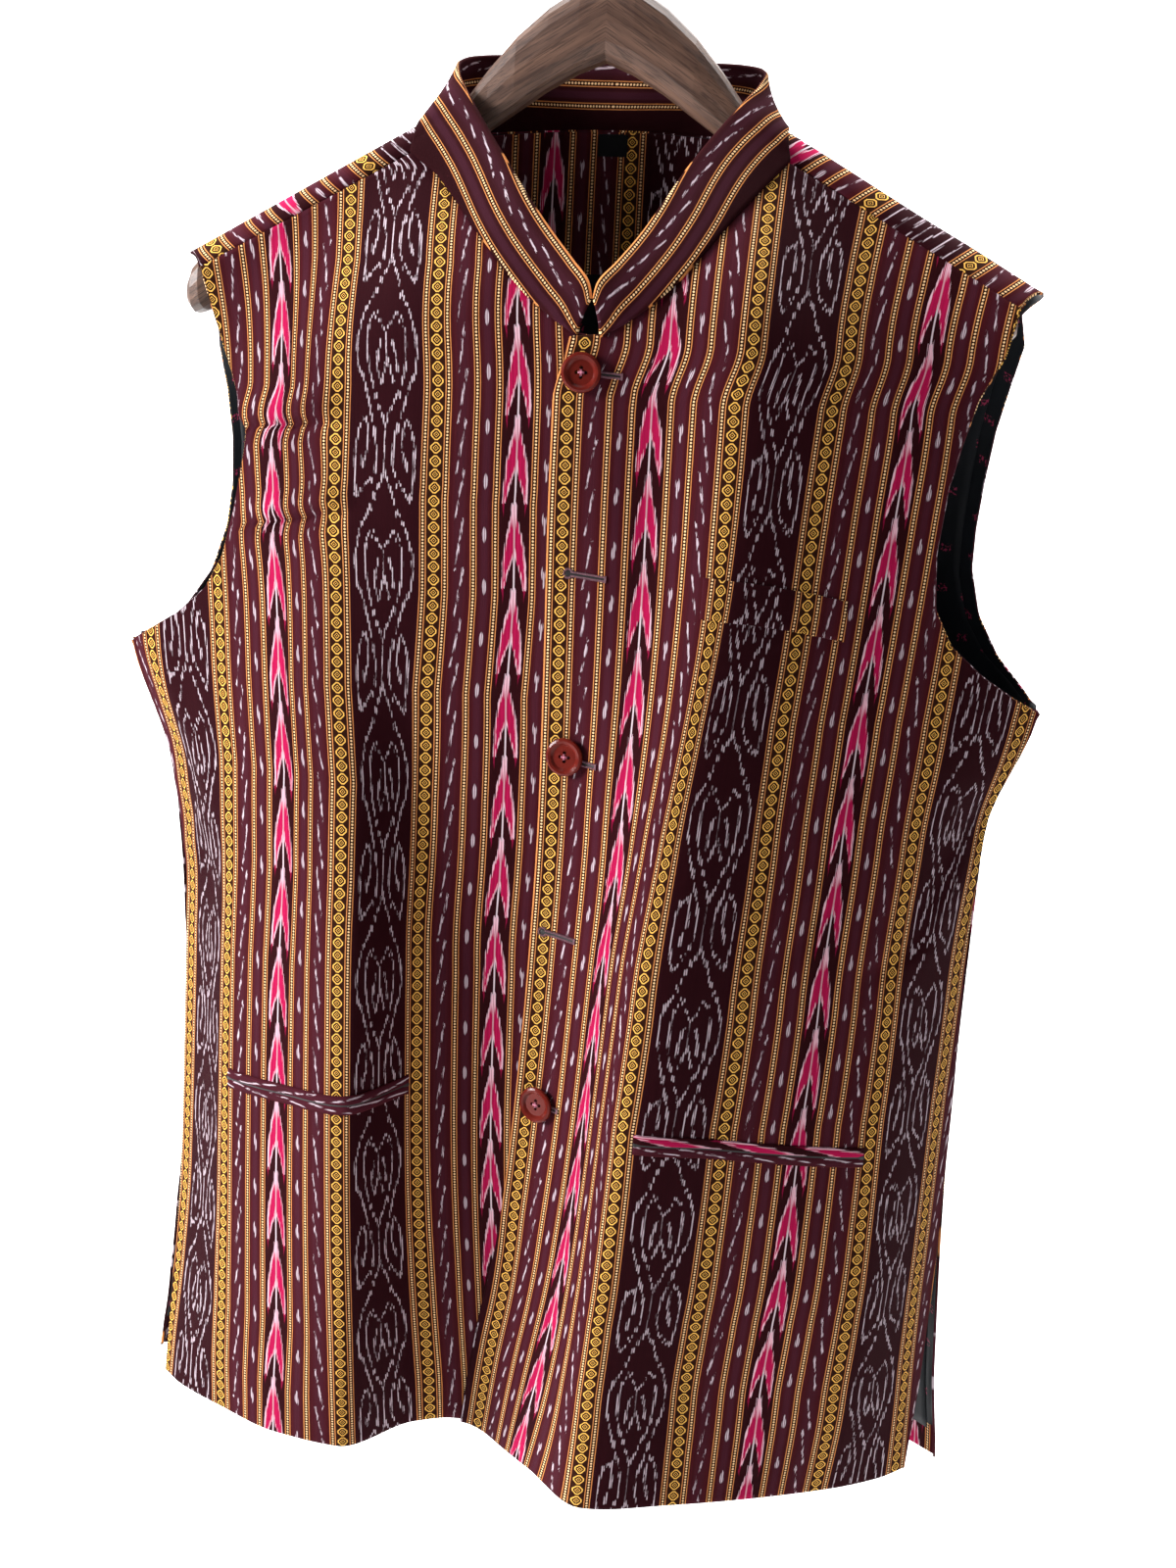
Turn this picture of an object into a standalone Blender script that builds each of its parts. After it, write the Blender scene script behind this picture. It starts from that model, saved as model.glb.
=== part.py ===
"""Sleeveless stand-collar ikat jacket, buttoned, on a contoured wooden hanger.

Metres, +Z up. The wearer's front faces -Y and the origin is the inside top of the hanger's hook.
Sizes and tables below are in millimetres. Their heights are above the shoulder tips, "out" is how far
the cloth stands in front of the hanger's plane, and "behind" is how far it stands at the back of it.
"""
import math

import bpy
import bmesh
from mathutils import Matrix, Vector
from mathutils.bvhtree import BVHTree

MM = 0.001

# Driving sizes
SHOULDER_DROP = 225.0      # shoulder tips below the inside top of the hook
SHOULDER_TILT = 0.018      # the jacket hangs a little lower at the wearer's right
NECK_HALF_WIDTH = 93.0
NECK_POINT_HEIGHT = 74.5
SHOULDER_SLOPE = 0.555
BACK_NECK_RISE = 10.5
SEAM_DROP = 15.0           # forward shoulder seam below the ridge of the shoulder
FRONT_HEM = -660.0
BACK_HEM = -655.5
BACK_HEM_TILT = 0.015      # the back's hem hangs lower at the wearer's left
FRONT_NECK = -32.0
UNDERARM = -213.0
SHELL_WALL = 1.6
LINING_WALL = 1.0
COLLAR_WALL = 2.4
COLLAR_LIFT = 1.1          # above the neck edge
SEAM_GAP = 0.3
LAP_WIDTH = 25.0           # the wearer's right front runs this far under the left one
LAP_SHIFT = 3.4            # and lies this far behind its face
BUTTON_PITCH = 97.0
BUTTON_RADIUS = 10.1

# The two fronts, one row for each height: x of the left seam, front edge, right fold and right seam,
# then how far out the cloth stands at thirteen places: left seam, side, quarter, middle, fold and
# hollow, the front edge, the rise beside it, then right fold, middle, quarter, side and seam.
FRONT_SECTIONS = (
    (-60, -251, -8, 84, 251, 4, 10, 25, 44, 52, 57, 62, 60, 66, 48, 26, 10, 4),
    (-120, -251, -7, 84, 251, 4, 12, 27, 46, 58, 62, 65, 64, 74, 54, 29, 12, 4),
    (-205, -251, -5, 78, 251, 4, 14, 32, 54, 68, 63, 66, 74, 90, 68, 36, 14, 4),
    (-280, -227, -4, 70, 229, 4, 20, 48, 70, 82, 65, 66, 81, 103, 82, 50, 22, 4),
    (-360, -217, -6, 62, 226, 4, 20, 54, 75, 90, 61, 63, 81, 108, 91, 56, 24, 4),
    (-440, -218, -10, 56, 227, 4, 19, 53, 73, 88, 55, 60, 79, 108, 93, 60, 26, 4),
    (-520, -219, -17, 50, 227, 4, 19, 51, 70, 83, 48, 51, 73, 104, 88, 61, 26, 4),
    (-600, -223, -31, 45, 225, 7, 21, 47, 64, 74, 40, 39, 63, 97, 79, 55, 26, 7),
    (-660, -226, -39, 43, 221, 11, 24, 42, 61, 67, 34, 26, 61, 94, 80, 44, 25, 11),
)

# The back, one row for each height: x of the left and right seams, then how far behind it stands at
# nine places: left seam, side, quarter and fold, the hollow, then right fold, quarter, side and seam.
BACK_SECTIONS = (
    (-60, -251, 251, 4, 12, 28, 44, 48, 46, 30, 12, 4),
    (-205, -251, 251, 4, 15, 34, 52, 53, 54, 34, 15, 4),
    (-280, -227, 229, 4, 20, 46, 58, 51, 60, 46, 20, 4),
    (-440, -218, 227, 4, 21, 50, 64, 46, 67, 50, 21, 4),
    (-600, -228, 233, 5, 20, 46, 64, 38, 69, 48, 20, 5),
    (-656, -235, 239, 6, 18, 42, 62, 34, 67, 45, 18, 6),
)

# Armhole edges, from the forward shoulder seam down to the underarm.
FRONT_ARMHOLE = (           # height, x at the left, x at the right
    (-30, -199, 213), (-52, -190, 202), (-74, -180, 196), (-97, -175, 191), (-130, -181, 188),
    (-157, -188, 190), (-176, -199, 200), (-192, -217, 218), (-205, -238, 237), (UNDERARM, -251, 251))
BACK_ARMHOLE = (            # depth below the ridge, x at the left, x at the right
    (30, -213, 224), (54, -211, 219), (80, -206, 214), (108, -203, 211), (135, -203, 209),
    (157, -206, 209), (178, -214, 215), (192, -228, 227), (199, -243, 242))

# Neck edge of the fronts: height, distance to each side of the neck's centre line, x of that line.
NECKLINE = (
    (-31.5, 3.0, 8.0), (-30.5, 6.0, 8.0), (-24, 17.0, 8.0), (-14, 31.0, 7.5), (-2, 43.5, 7.0),
    (13, 56.0, 5.5), (32, 71.5, 3.5), (45, 83.0, 2.5))
NECK_SEAM_X = 97.0

# Back neck edge from the shoulder seam to the centre: place along it, distance from the centre, and
# depth below the ridge, below 0 in front of the ridge.
BACK_NECK = (
    (0.00, 97.0, -14.1), (0.11, 95.6, -8.5), (0.22, 94.6, -3.5), (0.33, 93.8, -0.5), (0.44, 93.0, 1.5),
    (0.55, 91.0, 3.5), (0.66, 84.0, 5.8), (0.77, 68.0, 7.8), (0.88, 40.0, 9.4), (1.00, 0.0, 10.0))

# The collar band's top edge from its front end to the centre back: place along the neck edge,
# distance from the neck's centre line, height, and how far behind the hanger's plane.
COLLAR_STATIONS = (
    (0.00, 0.8, -13.0, -61.0), (0.04, 2.5, -6.0, -60.0), (0.10, 11.0, 4.0, -54.0),
    (0.18, 22.0, 17.0, -46.0), (0.28, 35.0, 35.0, -37.0), (0.38, 47.0, 53.0, -26.0),
    (0.47, 60.0, 71.0, -15.0), (0.54, 71.0, 86.0, -5.0), (0.60, 77.0, 95.0, 4.0),
    (0.67, 79.0, 102.0, 13.0), (0.74, 76.0, 106.0, 22.0), (0.82, 60.0, 109.0, 33.0),
    (0.91, 33.0, 110.0, 40.0), (1.00, 0.0, 110.5, 43.0))

# Hanger sections on one side: x, top, bottom, half thickness front to back.
HANGER_SECTIONS = (
    (0, 143, 104, 11.0), (14, 141, 98.5, 11.0), (30, 131, 89.5, 10.5), (46, 117, 78.5, 10.0),
    (60, 101, 69, 8.5), (76, 80, 58, 8.0), (93, 62.5, 45, 8.0), (125, 47, 28, 11.0),
    (160, 31, 8, 15.0), (195, 12.5, -15, 18.5), (210, 3.5, -26, 20.0), (215, -2, -28, 18.0),
    (218.5, -9, -24, 12.0))
HOOK_WIRE = 2.5
HOOK_INSIDE_RADIUS = 19.0
HOOK_HOLE_DEPTH = 14.0

# Pockets on the fronts: x and height of the slit along its length.
RIGHT_POCKET = ((-175, -447.5), (-136, -444.8), (-105, -442), (-88, -440), (-70, -437))
LEFT_POCKET = ((61, -436), (88, -438), (124, -442.4), (179.5, -449))
JET_HEIGHT = 5.2
JET_GAP = 0.4              # from the slit's line to the edge of each jet
BREAST_WELT = ((74.5, -154.5), (97, -156), (117, -159), (146, -164.5))
WELT_HEIGHT = 20.0
WELT_LIFT = 0.6
TRIM_WALL = 1.2
RIGHT_JET_LIFT = 0.9       # this pocket lies over a sharper fold
LEFT_JET_LIFT = 0.5
LABEL_SHARE = 0.224        # of the facing's squares that it reaches across, to each side
LABEL_WALL = 0.6


def lerp(a, b, t):
    return a + (b - a) * t


def smooth(t):
    t = min(max(t, 0.0), 1.0)
    return t * t * (3.0 - 2.0 * t)


def curve_through(xs, ys, x):
    """Value at x of a smooth curve through the points, with no overshoot between them."""
    if x <= xs[0]:
        return ys[0]
    if x >= xs[-1]:
        return ys[-1]
    i = max(k for k in range(len(xs) - 1) if xs[k] <= x)
    steps = [xs[k + 1] - xs[k] for k in range(len(xs) - 1)]
    slopes = [(ys[k + 1] - ys[k]) / steps[k] for k in range(len(xs) - 1)]

    def tangent(k):
        if k == 0:
            return slopes[0]
        if k == len(xs) - 1:
            return slopes[-1]
        if slopes[k - 1] * slopes[k] <= 0.0:
            return 0.0
        return 2.0 * slopes[k - 1] * slopes[k] / (slopes[k - 1] + slopes[k])

    h = steps[i]
    t = (x - xs[i]) / h
    a, b = tangent(i) * h, tangent(i + 1) * h
    return (ys[i] * (1 + 2 * t) * (1 - t) ** 2 + a * t * (1 - t) ** 2
            + ys[i + 1] * t * t * (3 - 2 * t) + b * t * t * (t - 1))


def section(table, height):
    """One row of a section table, worked out for any height."""
    heights = [row[0] for row in reversed(table)]
    return [curve_through(heights, [row[k] for row in reversed(table)], height)
            for k in range(1, len(table[0]))]


def ridge(x):
    """Height of the top of the shoulder, carried on across the neck."""
    reach = abs(x)
    if reach > NECK_HALF_WIDTH:
        height = NECK_POINT_HEIGHT - (reach - NECK_HALF_WIDTH) * SHOULDER_SLOPE
    else:
        height = NECK_POINT_HEIGHT + BACK_NECK_RISE * (1.0 - (reach / NECK_HALF_WIDTH) ** 2)
    return height + x * SHOULDER_TILT


def arch_half(x):
    """Half the thickness of the shoulder, front to back, where the cloth lies over the hanger."""
    return lerp(14.0, 25.0, smooth((abs(x) - NECK_HALF_WIDTH) / 130.0))


ARCH_CENTRE = 5.0          # the ridge lies this far behind the hanger's plane
ARCH_RISE = 0.85           # height of the shoulder's round over its half thickness
CHEST_REACH = 105.0        # below the ridge, where the shoulder's slope has run out into the chest


def arch_round(x, drop):
    """How far the shoulder's round stands from its centre, at a depth below the ridge."""
    rise = arch_half(x) * ARCH_RISE
    t = min(max((rise - drop) / rise, 0.0), 1.0)
    return arch_half(x) * math.sqrt(1.0 - t * t)


def front_stations(height):
    left, edge, fold, right, *outs = section(FRONT_SECTIONS, height)
    xs = (left, left + 14, left * 0.8, lerp(left * 0.8, left * 0.45, 0.5), left * 0.45, left * 0.29,
          edge, lerp(edge, fold, 0.55), fold, fold + 48, right * 0.8, right - 14, right)
    return xs, outs


def front_y(x, height):
    """The front's outer face: y at a place given by x and height."""
    xs, outs = front_stations(height)
    out = curve_through(xs, outs, x)
    drop = ridge(x) - height
    rise = arch_half(x) * ARCH_RISE
    shoulder = arch_round(x, drop) - ARCH_CENTRE
    t = min(max((drop - rise) / CHEST_REACH, 0.0), 1.0)
    return -lerp(shoulder, out, 0.5 * smooth(t) + 0.5 * (1.0 - (1.0 - t) ** 2))


def lap_shift(x, height):
    """How far the under front lies behind the upper one, none of it away from the lap."""
    edge = section(FRONT_SECTIONS, height)[1]
    slope = (front_y(x + 3.0, height) - front_y(x - 3.0, height)) / 6.0
    return LAP_SHIFT * min(math.hypot(1.0, slope), 2.5) * smooth((x - edge + 55.0) / 45.0)


def back_y(x, drop):
    """The back's outer face: y at a place given by x and the depth below the ridge."""
    height = ridge(x) - drop
    left, right, *behinds = section(BACK_SECTIONS, height)
    xs = (left, left + 14, left * 0.8, left * 0.48, -30, right * 0.32, right * 0.78, right - 14, right)
    behind = curve_through(xs, behinds, x)
    inner = max(0.0, 1.0 - (x / NECK_HALF_WIDTH) ** 2)
    shoulder = ARCH_CENTRE + arch_round(x, drop) * (1.0 + 1.9 * math.sqrt(inner))
    rise = arch_half(x) * ARCH_RISE
    return lerp(shoulder, behind, smooth((drop - rise) / CHEST_REACH))


def over_y(x, drop):
    """y of the back where it lies over the ridge: depth is below 0 in front of the ridge."""
    if drop >= 0.0:
        return back_y(x, drop)
    return ARCH_CENTRE - arch_round(x, -drop)


def place(x, y, height):
    """From the tables' millimetres to the part's own frame in metres."""
    return Vector((x, y, height - SHOULDER_DROP)) * MM


def along(points, t):
    """The point at a fraction of the length of a chain of points."""
    lengths = [0.0]
    for a, b in zip(points, points[1:]):
        lengths.append(lengths[-1] + math.dist(a, b))
    goal = t * lengths[-1]
    for k in range(len(points) - 1):
        if goal <= lengths[k + 1] or k == len(points) - 2:
            s = (goal - lengths[k]) / (lengths[k + 1] - lengths[k])
            return tuple(lerp(p, q, s) for p, q in zip(points[k], points[k + 1]))


def material(name, colour, roughness, metallic=0.0):
    found = bpy.data.materials.new(name)
    found.use_nodes = True
    shader = found.node_tree.nodes["Principled BSDF"]
    shader.inputs["Base Color"].default_value = (*colour, 1.0)
    shader.inputs["Roughness"].default_value = roughness
    shader.inputs["Metallic"].default_value = metallic
    return found


def add_object(name, mesh, finish, collection):
    mesh.materials.append(finish)
    mesh.shade_smooth()
    mesh.set_sharp_from_angle(angle=math.radians(50))
    thing = bpy.data.objects.new(name, mesh)
    collection.objects.link(thing)
    return thing


def cloth(name, grid, wall, finish, collection):
    """A wall of cloth inward from a grid of outer points, rows upward and columns to the right."""
    verts = [point for row in grid for point in row]
    wide = len(grid[0])
    faces = [(r * wide + c, r * wide + c + 1, (r + 1) * wide + c + 1, (r + 1) * wide + c)
             for r in range(len(grid) - 1) for c in range(wide - 1)]
    faces = [half for a, b, c, d in faces for half in ((a, b, c), (a, c, d))]
    mesh = bpy.data.meshes.new(name)
    mesh.from_pydata(verts, [], faces)
    thing = add_object(name, mesh, finish, collection)
    thick = thing.modifiers.new("Wall", "SOLIDIFY")
    thick.thickness = wall * MM
    thick.offset = -1.0
    thick.use_rim = True
    return thing


def sheet_inward(grid, distance):
    """The same grid moved inward, square to its surface."""
    rows, cols = len(grid), len(grid[0])
    moved = []
    for r in range(rows):
        moved.append([])
        for c in range(cols):
            across = grid[r][min(c + 1, cols - 1)] - grid[r][max(c - 1, 0)]
            upward = grid[min(r + 1, rows - 1)][c] - grid[max(r - 1, 0)][c]
            moved[-1].append(grid[r][c] - across.cross(upward).normalized() * distance * MM)
    return moved


# The fronts: rows run from the front edge, and higher up the neck edge, to the side seam and armhole.
SIDE_ROWS = 9
ARMHOLE_ROWS = 9
EDGE_ROWS = 12
NECK_ROWS = SIDE_ROWS + ARMHOLE_ROWS - EDGE_ROWS
FRONT_STEPS = 15
EDGE_STRIP = 3.7           # the seam edge is turned straight back by this


def side_x(height, side):
    return section(FRONT_SECTIONS, height)[3 if side > 0 else 0]


def front_outline(side):
    """Inner and outer ends of each row of one front, as x and height. side is +1 at the right."""
    inner = []
    for r in range(EDGE_ROWS):
        height = lerp(FRONT_HEM, NECKLINE[0][0], r / EDGE_ROWS)
        edge = section(FRONT_SECTIONS, height)[1]
        inner.append((edge if side > 0 else edge + LAP_WIDTH, height))
    neck = [(centre + side * reach, height) for height, reach, centre in NECKLINE]
    neck_edge = section(FRONT_SECTIONS, FRONT_NECK)[1]
    neck[0] = (neck_edge + 4.0 if side > 0 else neck_edge + LAP_WIDTH - 4.0, FRONT_NECK)
    seam_end = (side * NECK_SEAM_X, ridge(side * NECK_SEAM_X) - SEAM_DROP)
    inner += [along(neck + [seam_end], r / NECK_ROWS) for r in range(NECK_ROWS + 1)]

    outer = []
    for r in range(SIDE_ROWS):
        height = lerp(FRONT_HEM, UNDERARM, r / SIDE_ROWS)
        outer.append((side_x(height, side), height))
    armhole = [(row[2] if side > 0 else row[1], row[0]) for row in reversed(FRONT_ARMHOLE)]
    tip_x = 218.0 if side > 0 else -207.0
    armhole.append((tip_x, ridge(tip_x) - SEAM_DROP))
    outer += [along(armhole, r / ARMHOLE_ROWS) for r in range(ARMHOLE_ROWS + 1)]
    return inner, outer


def front_point(x, height, side):
    y = front_y(x, height)
    return place(x, y if side > 0 else y + lap_shift(x, height), height)


def front_grid(side):
    inner, outer = front_outline(side)
    grid = []
    for r, (start, end) in enumerate(zip(inner, outer)):
        row = []
        for c in range(FRONT_STEPS + 1):
            t = c / FRONT_STEPS
            t = 0.45 * t + 0.55 * math.sin(t * math.pi / 2)
            row.append(front_point(lerp(start[0], end[0], t), lerp(start[1], end[1], t), side))
        if r <= SIDE_ROWS:
            row.append(row[-1] + Vector((0.0, EDGE_STRIP * MM, 0.0)))
        else:
            row.append(row[-1] * 2.0 - row[-1].lerp(row[-2], 0.1))
        grid.append(row if side > 0 else row[::-1])
    return grid


# The back: columns run from the hem up to the forward shoulder seams and the back neck edge.
BACK_SIDE_ROWS = 10
BACK_ARMHOLE_ROWS = 8
ARCH_ANGLES = (62, 36, 12, -12, -34, -56)   # places over the ridge, from behind it to in front of it
SHOULDER_STEPS = 6
NECK_STEPS = 18
BACK_STEPS = 2 * SHOULDER_STEPS + NECK_STEPS


def arch_drop(x, degrees):
    """Depth below the ridge at an angle around the shoulder, below 0 in front of the ridge."""
    rise = arch_half(x) * ARCH_RISE
    return math.copysign(rise * (1.0 - math.cos(math.radians(degrees))), degrees)


def back_hem(x):
    return BACK_HEM - x * BACK_HEM_TILT


def back_outline(side):
    """The side seam and armhole of the back as x and depth below the ridge, from the hem up."""
    line = []
    for r in range(BACK_SIDE_ROWS):
        height = lerp(back_hem(side * 235.0), UNDERARM, r / BACK_SIDE_ROWS)
        x = section(BACK_SECTIONS, height)[1 if side > 0 else 0]
        line.append((x, ridge(x) - height))
    x = side * 251.0
    armhole = [(x, ridge(x) - UNDERARM)]
    armhole += [(row[2] if side > 0 else row[1], row[0]) for row in reversed(BACK_ARMHOLE)]
    line += [along(armhole, r / BACK_ARMHOLE_ROWS) for r in range(BACK_ARMHOLE_ROWS + 1)]
    tip_x = 218.0 if side > 0 else -207.0
    brow_x = 230.0 if side > 0 else -220.0
    for degrees in ARCH_ANGLES:
        x = lerp(tip_x, brow_x, 0.5 + 0.5 * math.cos(math.radians((degrees - 12) * 1.9)))
        line.append((x, arch_drop(x, degrees)))
    line.append((tip_x, -(SEAM_DROP - 3 * SEAM_GAP)))
    return line


def back_neck_point(t):
    """x and depth of the back neck edge, from the shoulder seam at the left to the one at the right."""
    side = -1 if t < 0.5 else 1
    s = 1.0 - abs(2.0 * t - 1.0)
    places = [row[0] for row in BACK_NECK]
    x, drop = (curve_through(places, [row[k] for row in BACK_NECK], s) for k in (1, 2))
    return side * x, drop


def back_top():
    """Top ends of the back's columns, from the left shoulder tip to the right one."""
    ends = []
    for c in range(BACK_STEPS + 1):
        if c < SHOULDER_STEPS:
            ends.append((lerp(-207.0, -NECK_SEAM_X, c / SHOULDER_STEPS), -(SEAM_DROP - 3 * SEAM_GAP)))
        elif c > BACK_STEPS - SHOULDER_STEPS:
            t = (BACK_STEPS - c) / SHOULDER_STEPS
            ends.append((lerp(218.0, NECK_SEAM_X, t), -(SEAM_DROP - 3 * SEAM_GAP)))
        else:
            ends.append(back_neck_point((c - SHOULDER_STEPS) / NECK_STEPS))
    return ends


def back_grid():
    left, right, top = back_outline(-1), back_outline(1), back_top()
    rows = len(left)
    grid = []
    for r in range(rows):
        shares = []
        for line in (left, right):
            bottom = ridge(line[0][0]) - back_hem(line[0][0])
            shares.append((bottom - line[r][1]) / (bottom - line[-1][1]))
        row = []
        for c in range(BACK_STEPS + 1):
            flat = c / BACK_STEPS
            across = 0.5 - 0.5 * math.cos(math.pi * flat)
            across = 0.5 * flat + 0.5 * across
            share = lerp(shares[0], shares[1], flat)
            top_across = (top[c][0] - top[0][0]) / (top[-1][0] - top[0][0])
            place_across = lerp(across, top_across, share ** 3)
            x = lerp(left[r][0], right[r][0], place_across)
            bottom = ridge(x) - back_hem(x)
            drop = lerp(bottom, top[c][1], share)
            if c in (0, BACK_STEPS):
                drop = (left if c == 0 else right)[r][1]
            row.append(place(x, over_y(x, drop), ridge(x) - abs(drop)))
        if r <= BACK_SIDE_ROWS:
            strip = Vector((0.0, EDGE_STRIP * MM, 0.0))
            row = [row[0] - strip] + row + [row[-1] - strip]
        else:
            row = [row[0].lerp(row[1], -0.1)] + row + [row[-1].lerp(row[-2], -0.1)]
        grid.append(row[::-1])
    return grid


def part_of(grid, rows, columns):
    return [row[columns[0]:columns[1]] for row in grid[rows[0]:rows[1]]]


def lining_grid(back):
    """The back's lining: the back's own points, short of its hem and edges, moved in."""
    inner = part_of(back, (1, len(back) - len(ARCH_ANGLES) - 1), (2, -2))
    return sheet_inward(inner, SHELL_WALL + SEAM_GAP)


def facing_grid(back):
    """The striped cloth inside the back neck: the back's own points below the collar, moved in."""
    first = SHOULDER_STEPS + 6
    inner = part_of(back, (BACK_SIDE_ROWS + 4, len(back) - 1), (first, -first))
    return sheet_inward(inner, SHELL_WALL + LINING_WALL + 2 * SEAM_GAP)


def neck_edge_points():
    """The whole neck edge as the collar sees it, from the left front end round the back."""
    points = []
    for side in (-1, 1):
        half = [front_point(centre + side * reach, height, side)
                for height, reach, centre in NECKLINE[1:]]
        x = side * NECK_SEAM_X
        half.append(front_point(x, ridge(x) - SEAM_DROP, side))
        for k in range(1, NECK_STEPS // 2 + 1):
            t = k / NECK_STEPS
            x, drop = back_neck_point(t if side < 0 else 1.0 - t)
            half.append(place(x, over_y(x, drop), ridge(x) - abs(drop)))
        points.append(half)
    return points[0] + points[1][-2::-1]


def collar_grid():
    """The stand band: its seam follows the neck edge and its top edge follows the stations."""
    edge = [tuple(point) for point in neck_edge_points()]
    steps, rows = 44, 3
    stations = [row[0] for row in COLLAR_STATIONS]
    grid = [[] for _ in range(rows + 1)]
    for c in range(steps + 1):
        t = c / steps
        seam = Vector(along(edge, t))
        side = -1 if t < 0.5 else 1
        s = 1.0 - abs(2.0 * t - 1.0)
        reach, height, behind = (curve_through(stations, [row[k] for row in COLLAR_STATIONS], s)
                                 for k in (1, 2, 3))
        centre = lerp(9.0, 1.0, smooth(s / 0.5))
        top = place(centre + side * reach, behind, height)
        up = (top - seam).normalized()
        for r in range(rows + 1):
            u = r / rows
            belly = Vector((side * 0.8, -0.8 if s < 0.7 else 0.8, 0.0)) * 4.0 * u * (1.0 - u) * MM
            lift = COLLAR_LIFT * (1.0 + 1.2 * smooth((s - 0.4) / 0.1) * smooth((0.75 - s) / 0.1))
            grid[r].append(seam + up * lift * MM + (top - seam) * u + belly)
    return grid


def surface_of(grid):
    """The outer face of a grid of points, to lay other pieces on."""
    wide = len(grid[0])
    verts = [point for row in grid for point in row]
    faces = []
    for r in range(len(grid) - 1):
        for c in range(wide - 1):
            a, b = r * wide + c, r * wide + c + 1
            faces += [(a, b, b + wide), (a, b + wide, a + wide)]
    return BVHTree.FromPolygons(verts, faces)


def laid_on(surface, x, height):
    """The point of a front's face at a place given by x and height."""
    start = place(x, -300.0, height)
    return surface.ray_cast(start, Vector((0.0, 1.0, 0.0)))[0]


def strip_grid(surface, line, low, high, lift):
    """A strip of cloth lying on a front, between two heights over a line on it."""
    steps, rows = 30, 2
    places = [x for x, _ in line]
    grid = []
    for r in range(rows + 1):
        row = []
        for c in range(steps + 1):
            x = lerp(places[0], places[-1], c / steps)
            height = curve_through(places, [h for _, h in line], x) + lerp(low, high, r / rows)
            row.append(laid_on(surface, x, height))
        grid.append(row)
    return sheet_inward(grid, -(lift + TRIM_WALL))


def hanger_bar(finish, collection):
    """A contoured bar lofted through upright sections, bored at the top for the hook's shank."""
    rounds = 16
    stations = [(-x, top, bottom, half) for x, top, bottom, half in reversed(HANGER_SECTIONS[1:])]
    stations += HANGER_SECTIONS
    rings = []
    for x, top, bottom, half in stations:
        tilt = x * SHOULDER_TILT
        ring = []
        for k in range(rounds):
            turn = 2.0 * math.pi * k / rounds
            y = math.copysign(abs(math.cos(turn)) ** 0.75, math.cos(turn)) * half + ARCH_CENTRE - 1.0
            z = math.copysign(abs(math.sin(turn)) ** 0.75, math.sin(turn)) * (top - bottom) / 2.0
            ring.append(place(x, y, (top + bottom) / 2.0 + z + tilt))
        rings.append(ring)
    verts = [point for ring in rings for point in ring]
    faces = [(r * rounds + k, r * rounds + (k + 1) % rounds,
              (r + 1) * rounds + (k + 1) % rounds, (r + 1) * rounds + k)
             for r in range(len(rings) - 1) for k in range(rounds)]
    faces.append(tuple(range(rounds))[::-1])
    faces.append(tuple(range((len(rings) - 1) * rounds, len(rings) * rounds)))
    mesh = bpy.data.meshes.new("hanger_bar")
    mesh.from_pydata(verts, [], faces)
    tidy = bmesh.new()
    tidy.from_mesh(mesh)
    bmesh.ops.recalc_face_normals(tidy, faces=tidy.faces)
    tidy.to_mesh(mesh)
    tidy.free()
    return add_object("hanger_bar", mesh, finish, collection)


def drill(thing, radius, depth, base, direction, cutters, sides=12):
    """Cut a round hole into an object with a hidden cylinder."""
    mesh = bpy.data.meshes.new("hole")
    shape = bmesh.new()
    bmesh.ops.create_cone(shape, cap_ends=True, segments=sides, radius1=radius * MM, radius2=radius * MM,
                          depth=2.0 * depth * MM)
    shape.to_mesh(mesh)
    shape.free()
    cutter = bpy.data.objects.new("cut_" + thing.name, mesh)
    cutter.location = base
    cutter.rotation_mode = "QUATERNION"
    cutter.rotation_quaternion = direction.to_track_quat("Z", "Y")
    cutter.hide_render = True
    cutter.display_type = "WIRE"
    cutters.objects.link(cutter)
    cut = thing.modifiers.new("Hole", "BOOLEAN")
    cut.operation = "DIFFERENCE"
    cut.object = cutter
    cut.solver = "EXACT"


def hook(finish, collection):
    """The wire hook: a shank in the bar and a round that is open at one side."""
    radius = HOOK_INSIDE_RADIUS + HOOK_WIRE
    centre = SHOULDER_DROP - HOOK_INSIDE_RADIUS
    foot = HANGER_SECTIONS[0][1] - HOOK_HOLE_DEPTH + 1.0
    points = [(0.0, foot), (0.0, 150.0), (0.0, 163.0), (1.5, 171.0), (6.0, 179.0)]
    for step in range(17):
        turn = math.radians(-48.0 + step * 16.0)
        points.append((radius * math.cos(turn), centre + radius * math.sin(turn)))
    shape = bpy.data.curves.new("hanger_hook", "CURVE")
    shape.dimensions = "3D"
    shape.bevel_depth = HOOK_WIRE * MM
    shape.bevel_resolution = 2
    shape.use_fill_caps = True
    wire = shape.splines.new("POLY")
    wire.points.add(len(points) - 1)
    for point, (x, height) in zip(wire.points, points):
        point.co = (*place(x, ARCH_CENTRE - 1.0, height), 1.0)
    shape.materials.append(finish)
    thing = bpy.data.objects.new("hanger_hook", shape)
    collection.objects.link(thing)
    return thing


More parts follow.
